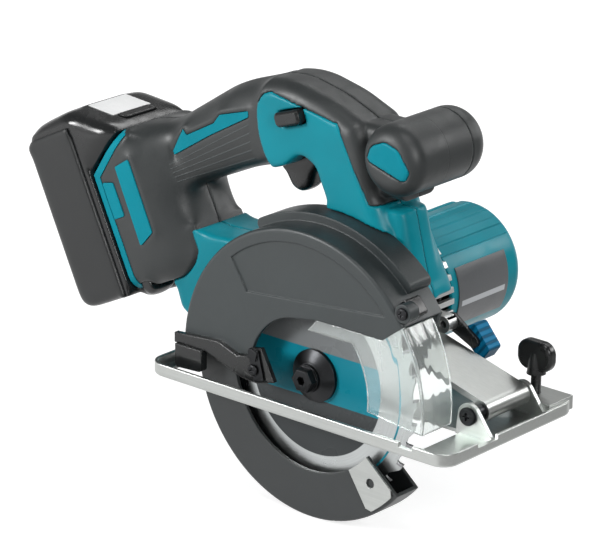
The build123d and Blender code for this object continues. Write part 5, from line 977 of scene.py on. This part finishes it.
class SAW_OT_guards(bpy.types.Operator):
    """Dresses the blade case, clear cover and lower guard"""

    bl_idname = "saw.guards"
    bl_label = "Guards"

    def execute(self, context):
        case = ("blade_case", "clear_cover", "cover_clip", "case_skirt", "skirt_plate", "foot_block")
        for node in (*case, "lower_guard", "guard_end_plate"):
            dress(node)
        dress("case_screws", "dark_steel")
        return {"FINISHED"}


class SAW_OT_base(bpy.types.Operator):
    """Dresses the base, its hinge, the arm and the depth guide"""

    bl_idname = "saw.base"
    bl_label = "Base"

    def execute(self, context):
        for node in ("base_plate", "hinge_pin", "hinge_arm", "arm_screws", "depth_guide", "depth_bolt"):
            dress(node)
        return {"FINISHED"}


def tip_tree(finish):
    """Geometry nodes that set carbide tips round a blade's rim."""
    tree = bpy.data.node_groups.new("Carbide tips", "GeometryNodeTree")
    face = tree.interface
    face.new_socket("Tips", in_out="INPUT", socket_type="NodeSocketInt")
    for label in ("Radius", "Height", "Width", "Thickness", "Set Back"):
        face.new_socket(label, in_out="INPUT", socket_type="NodeSocketFloat")
    face.new_socket("Centre", in_out="INPUT", socket_type="NodeSocketVector")
    face.new_socket("Geometry", in_out="OUTPUT", socket_type="NodeSocketGeometry")
    given, out = tree.nodes.new("NodeGroupInput").outputs, tree.nodes.new("NodeGroupOutput")
    height = given["Height"]
    middle = maths(tree, "SUBTRACT", given["Radius"], times(tree, height, 0.5))
    size = vector_of(tree, X=height, Y=given["Width"], Z=given["Thickness"])
    block = put(tree, "GeometryNodeMeshCube", links={"Size": size}).outputs["Mesh"]
    along, _, across = axes_of(tree, put(tree, "GeometryNodeInputPosition").outputs[0])
    lean = times(tree, along, TIP_LEAN)
    flare = times(tree, across, times(tree, along, TIP_FLARE))
    shift = vector_of(tree, Y=lean, Z=flare)
    wedge = put(tree, "GeometryNodeSetPosition", links={"Geometry": block, "Offset": shift})
    place = vector_of(tree, X=middle, Y=given["Set Back"])
    moved = {"Geometry": wedge.outputs["Geometry"], "Translation": place}
    seat = put(tree, "GeometryNodeTransform", links=moved)
    count = put(tree, "GeometryNodePoints", links={"Count": given["Tips"]})
    step = maths(tree, "DIVIDE", 2 * pi, given["Tips"])
    turn = vector_of(tree, Z=times(tree, put(tree, "GeometryNodeInputIndex").outputs[0], step))
    copies = {"Points": count.outputs[0], "Instance": seat.outputs["Geometry"], "Rotation": turn}
    around = put(tree, "GeometryNodeInstanceOnPoints", links=copies)
    upright = put(
        tree,
        "GeometryNodeTransform",
        {"Rotation": (pi / 2, 0.0, 0.0)},
        {"Geometry": around.outputs["Instances"], "Translation": given["Centre"]},
    )
    real = put(tree, "GeometryNodeRealizeInstances", links={"Geometry": upright.outputs["Geometry"]})
    whole = {"Geometry": real.outputs["Geometry"]}
    dressed = put(tree, "GeometryNodeSetMaterial", {"Material": finish}, whole)
    feed(tree, out, {"Geometry": dressed.outputs["Geometry"]})
    return tree


def grown_piece(name, tree, inputs, body):
    """A piece made by a geometry node tree, settled to a plain mesh that rides on a body."""
    piece = bpy.data.objects.new(name, bpy.data.meshes.new(name))
    bpy.context.scene.collection.objects.link(piece)
    modifier = piece.modifiers.new(name, "NODES")
    modifier.node_group = tree
    for item in tree.interface.items_tree:
        if item.in_out == "INPUT" and item.name in inputs:
            modifier[item.identifier] = inputs[item.name]
    settled(piece)
    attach(piece, body)
    return piece


class SAW_OT_blade(bpy.types.Operator):
    """Dresses the blade, its carbide tips, flange and bolt"""

    bl_idname = "saw.blade"
    bl_label = "Blade"

    def execute(self, context):
        sizes = context.scene.saw_sizes
        for node in ("saw_blade", "outer_flange", "blade_bolt"):
            dress(node)
        inputs = {
            "Tips": sizes.tip_count,
            "Radius": BLADE_RADIUS,
            "Height": sizes.tip_height,
            "Width": sizes.tip_width,
            "Thickness": sizes.tip_thickness,
            "Set Back": TIP_SET_BACK,
            "Centre": tuple(BLADE_CENTRE),
        }
        grown_piece("carbide_tips", tip_tree(FINISHES["carbide"]), inputs, "spindle_set")
        return {"FINISHED"}


class SAW_OT_inside(bpy.types.Operator):
    """Gives the inner nodes their finishes"""

    bl_idname = "saw.inside"
    bl_label = "Inside"

    def execute(self, context):
        for node, thing in frame["nodes"].items():
            if not thing.hide_render:
                paint(node)
        return {"FINISHED"}


def softbox(name, place, aim, size, power):
    """An area light at a place, aimed at a point."""
    lamp = bpy.data.lights.new(name, "AREA")
    lamp.shape = "RECTANGLE"
    lamp.size, lamp.size_y = size
    lamp.energy = power
    thing = bpy.data.objects.new(name, lamp)
    thing.location = place
    thing.rotation_euler = (Vector(aim) - Vector(place)).to_track_quat("-Z", "Y").to_euler()
    bpy.context.scene.collection.objects.link(thing)


def seen_white(tree, mirrored):
    """One where a ray comes from the camera or through a clear piece, and a set level in reflections."""
    path = put(tree, "ShaderNodeLightPath")
    straight = maths(tree, "MAXIMUM", path.outputs["Is Camera Ray"], path.outputs["Is Transmission Ray"])
    glossy = times(tree, path.outputs["Is Glossy Ray"], mirrored)
    return maths(tree, "MAXIMUM", straight, glossy)


def studio_world(ambient, ceiling):
    """A white studio with a dim ceiling and a dim front, which lights the object at a plain level."""
    world = bpy.data.worlds.new("Studio")
    bpy.context.scene.world = world
    world.use_nodes = True
    tree = world.node_tree
    tree.nodes.clear()
    ahead, _, up = axes_of(tree, put(tree, "ShaderNodeTexCoord").outputs["Generated"])
    wall = between(tree, up, *WALL_FADE, 1.0, ceiling)
    flag = between(tree, ahead, *FLAG_FADE, 1.0, ceiling)
    shown = maths(tree, "SUBTRACT", times(tree, wall, flag), ambient)
    level = maths(tree, "MULTIPLY_ADD", seen_white(tree, 1.0), shown, ambient)
    direct = put(tree, "ShaderNodeLightPath").outputs["Is Camera Ray"]
    level = maths(tree, "MAXIMUM", level, direct)
    glow = put(tree, "ShaderNodeBackground", {"Color": (1.0, 1.0, 1.0, 1.0)}, {"Strength": level})
    put(tree, "ShaderNodeOutputWorld", links={"Surface": glow.outputs[0]})


def studio_floor(glow_level):
    """A pale floor that stays near white and keeps a soft shadow."""
    low = CAD_BOX[0].z - FLOOR_DROP
    front = CAD_BOX[1].x
    half = FLOOR_HALF
    mesh = bpy.data.meshes.new("Floor")
    corners = [(-half, -half, low), (half, -half, low), (half, half, low), (-half, half, low)]
    mesh.from_pydata(corners, [], [(0, 1, 2, 3)])
    floor = bpy.data.objects.new("Floor", mesh)
    bpy.context.scene.collection.objects.link(floor)
    material = bpy.data.materials.new("Pale_Floor")
    material.use_nodes = True
    tree = material.node_tree
    tree.nodes.clear()
    matt = put(tree, "ShaderNodeBsdfDiffuse", {"Color": (FLOOR_GREY, FLOOR_GREY, FLOOR_GREY, 1.0)})
    place = put(tree, "ShaderNodeNewGeometry").outputs["Position"]
    ahead = axes_of(tree, place)["X"]
    mirrored = between(tree, ahead, front, front + FLAG_SPAN, *FLOOR_MIRROR)
    white = between(tree, length_of(tree, place), *FLOOR_FADE, glow_level, 1.0)
    level = times(tree, seen_white(tree, mirrored), white)
    glow = put(tree, "ShaderNodeEmission", links={"Strength": level})
    both = put(tree, "ShaderNodeAddShader", links={0: matt.outputs[0], 1: glow.outputs[0]})
    put(tree, "ShaderNodeOutputMaterial", links={"Surface": both.outputs[0]})
    mesh.materials.append(material)


def studio_camera(stage):
    """The camera at the photograph's viewing angle."""
    back = Vector(
        (
            sin(stage.azimuth) * cos(stage.elevation),
            -cos(stage.azimuth) * cos(stage.elevation),
            sin(stage.elevation),
        )
    )
    right = Vector((cos(stage.azimuth), sin(stage.azimuth), 0.0))
    up = back.cross(right)
    turned_right = right * cos(stage.roll) + up * sin(stage.roll)
    turned_up = up * cos(stage.roll) - right * sin(stage.roll)
    lens = bpy.data.cameras.new("Camera")
    lens.sensor_width = SENSOR
    lens.lens = stage.focal_pixels / PHOTO_WIDTH * SENSOR
    lens.clip_end = VIEW_LIMIT
    camera = bpy.data.objects.new("Camera", lens)
    place = turned_right * stage.aim_right + turned_up * stage.aim_up + back * stage.distance
    facing = Matrix((turned_right, turned_up, back)).transposed().to_4x4()
    camera.matrix_world = Matrix.Translation(place) @ facing
    bpy.context.scene.collection.objects.link(camera)
    bpy.context.scene.camera = camera


class SAW_OT_stage(bpy.types.Operator):
    """Sets the floor, light and camera"""

    bl_idname = "saw.stage"
    bl_label = "Stage"

    def execute(self, context):
        stage = context.scene.saw_stage
        context.scene.view_settings.view_transform = "Standard"
        studio_world(stage.ambient, stage.ceiling)
        studio_floor(stage.floor_glow)
        studio_camera(stage)
        powers = (stage.key_power, stage.fill_power, stage.side_power, stage.rim_power, stage.back_power)
        for (name, place, size), power in zip(LAMPS, powers):
            softbox(name, place, LAMP_AIM, size, power)
        return {"FINISHED"}


class SAW_PT_panel(bpy.types.Panel):
    """Lists the saw's pieces and settings"""

    bl_idname = "SAW_PT_panel"
    bl_label = "Circular Saw"
    bl_space_type = "VIEW_3D"
    bl_region_type = "UI"
    bl_category = "Saw"

    def draw(self, context):
        for operator in OPERATORS:
            self.layout.operator(operator.bl_idname)
        for group in (context.scene.saw_colours, context.scene.saw_sizes, context.scene.saw_stage):
            for name in group.__annotations__:
                self.layout.prop(group, name)


SETTINGS = (SawColours, SawSizes, SawStage)
OPERATORS = (
    SAW_OT_finishes,
    SAW_OT_handle,
    SAW_OT_controls,
    SAW_OT_battery,
    SAW_OT_motor,
    SAW_OT_guards,
    SAW_OT_base,
    SAW_OT_blade,
    SAW_OT_inside,
    SAW_OT_stage,
)


def register():
    """Registers the settings, operators and panel."""
    for kind in (*SETTINGS, *OPERATORS, SAW_PT_panel):
        bpy.utils.register_class(kind)
    bpy.types.Scene.saw_colours = PointerProperty(type=SawColours)
    bpy.types.Scene.saw_sizes = PointerProperty(type=SawSizes)
    bpy.types.Scene.saw_stage = PointerProperty(type=SawStage)


def unregister():
    """Removes what register added."""
    del bpy.types.Scene.saw_stage
    del bpy.types.Scene.saw_sizes
    del bpy.types.Scene.saw_colours
    for kind in (SAW_PT_panel, *reversed(OPERATORS), *reversed(SETTINGS)):
        bpy.utils.unregister_class(kind)


def main():
    """Registers the add-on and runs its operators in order."""
    register()
    bpy.ops.saw.finishes()
    bpy.ops.saw.handle()
    bpy.ops.saw.controls()
    bpy.ops.saw.battery()
    bpy.ops.saw.motor()
    bpy.ops.saw.guards()
    bpy.ops.saw.base()
    bpy.ops.saw.blade()
    bpy.ops.saw.inside()
    bpy.ops.saw.stage()


if __name__ == "__main__":
    main()
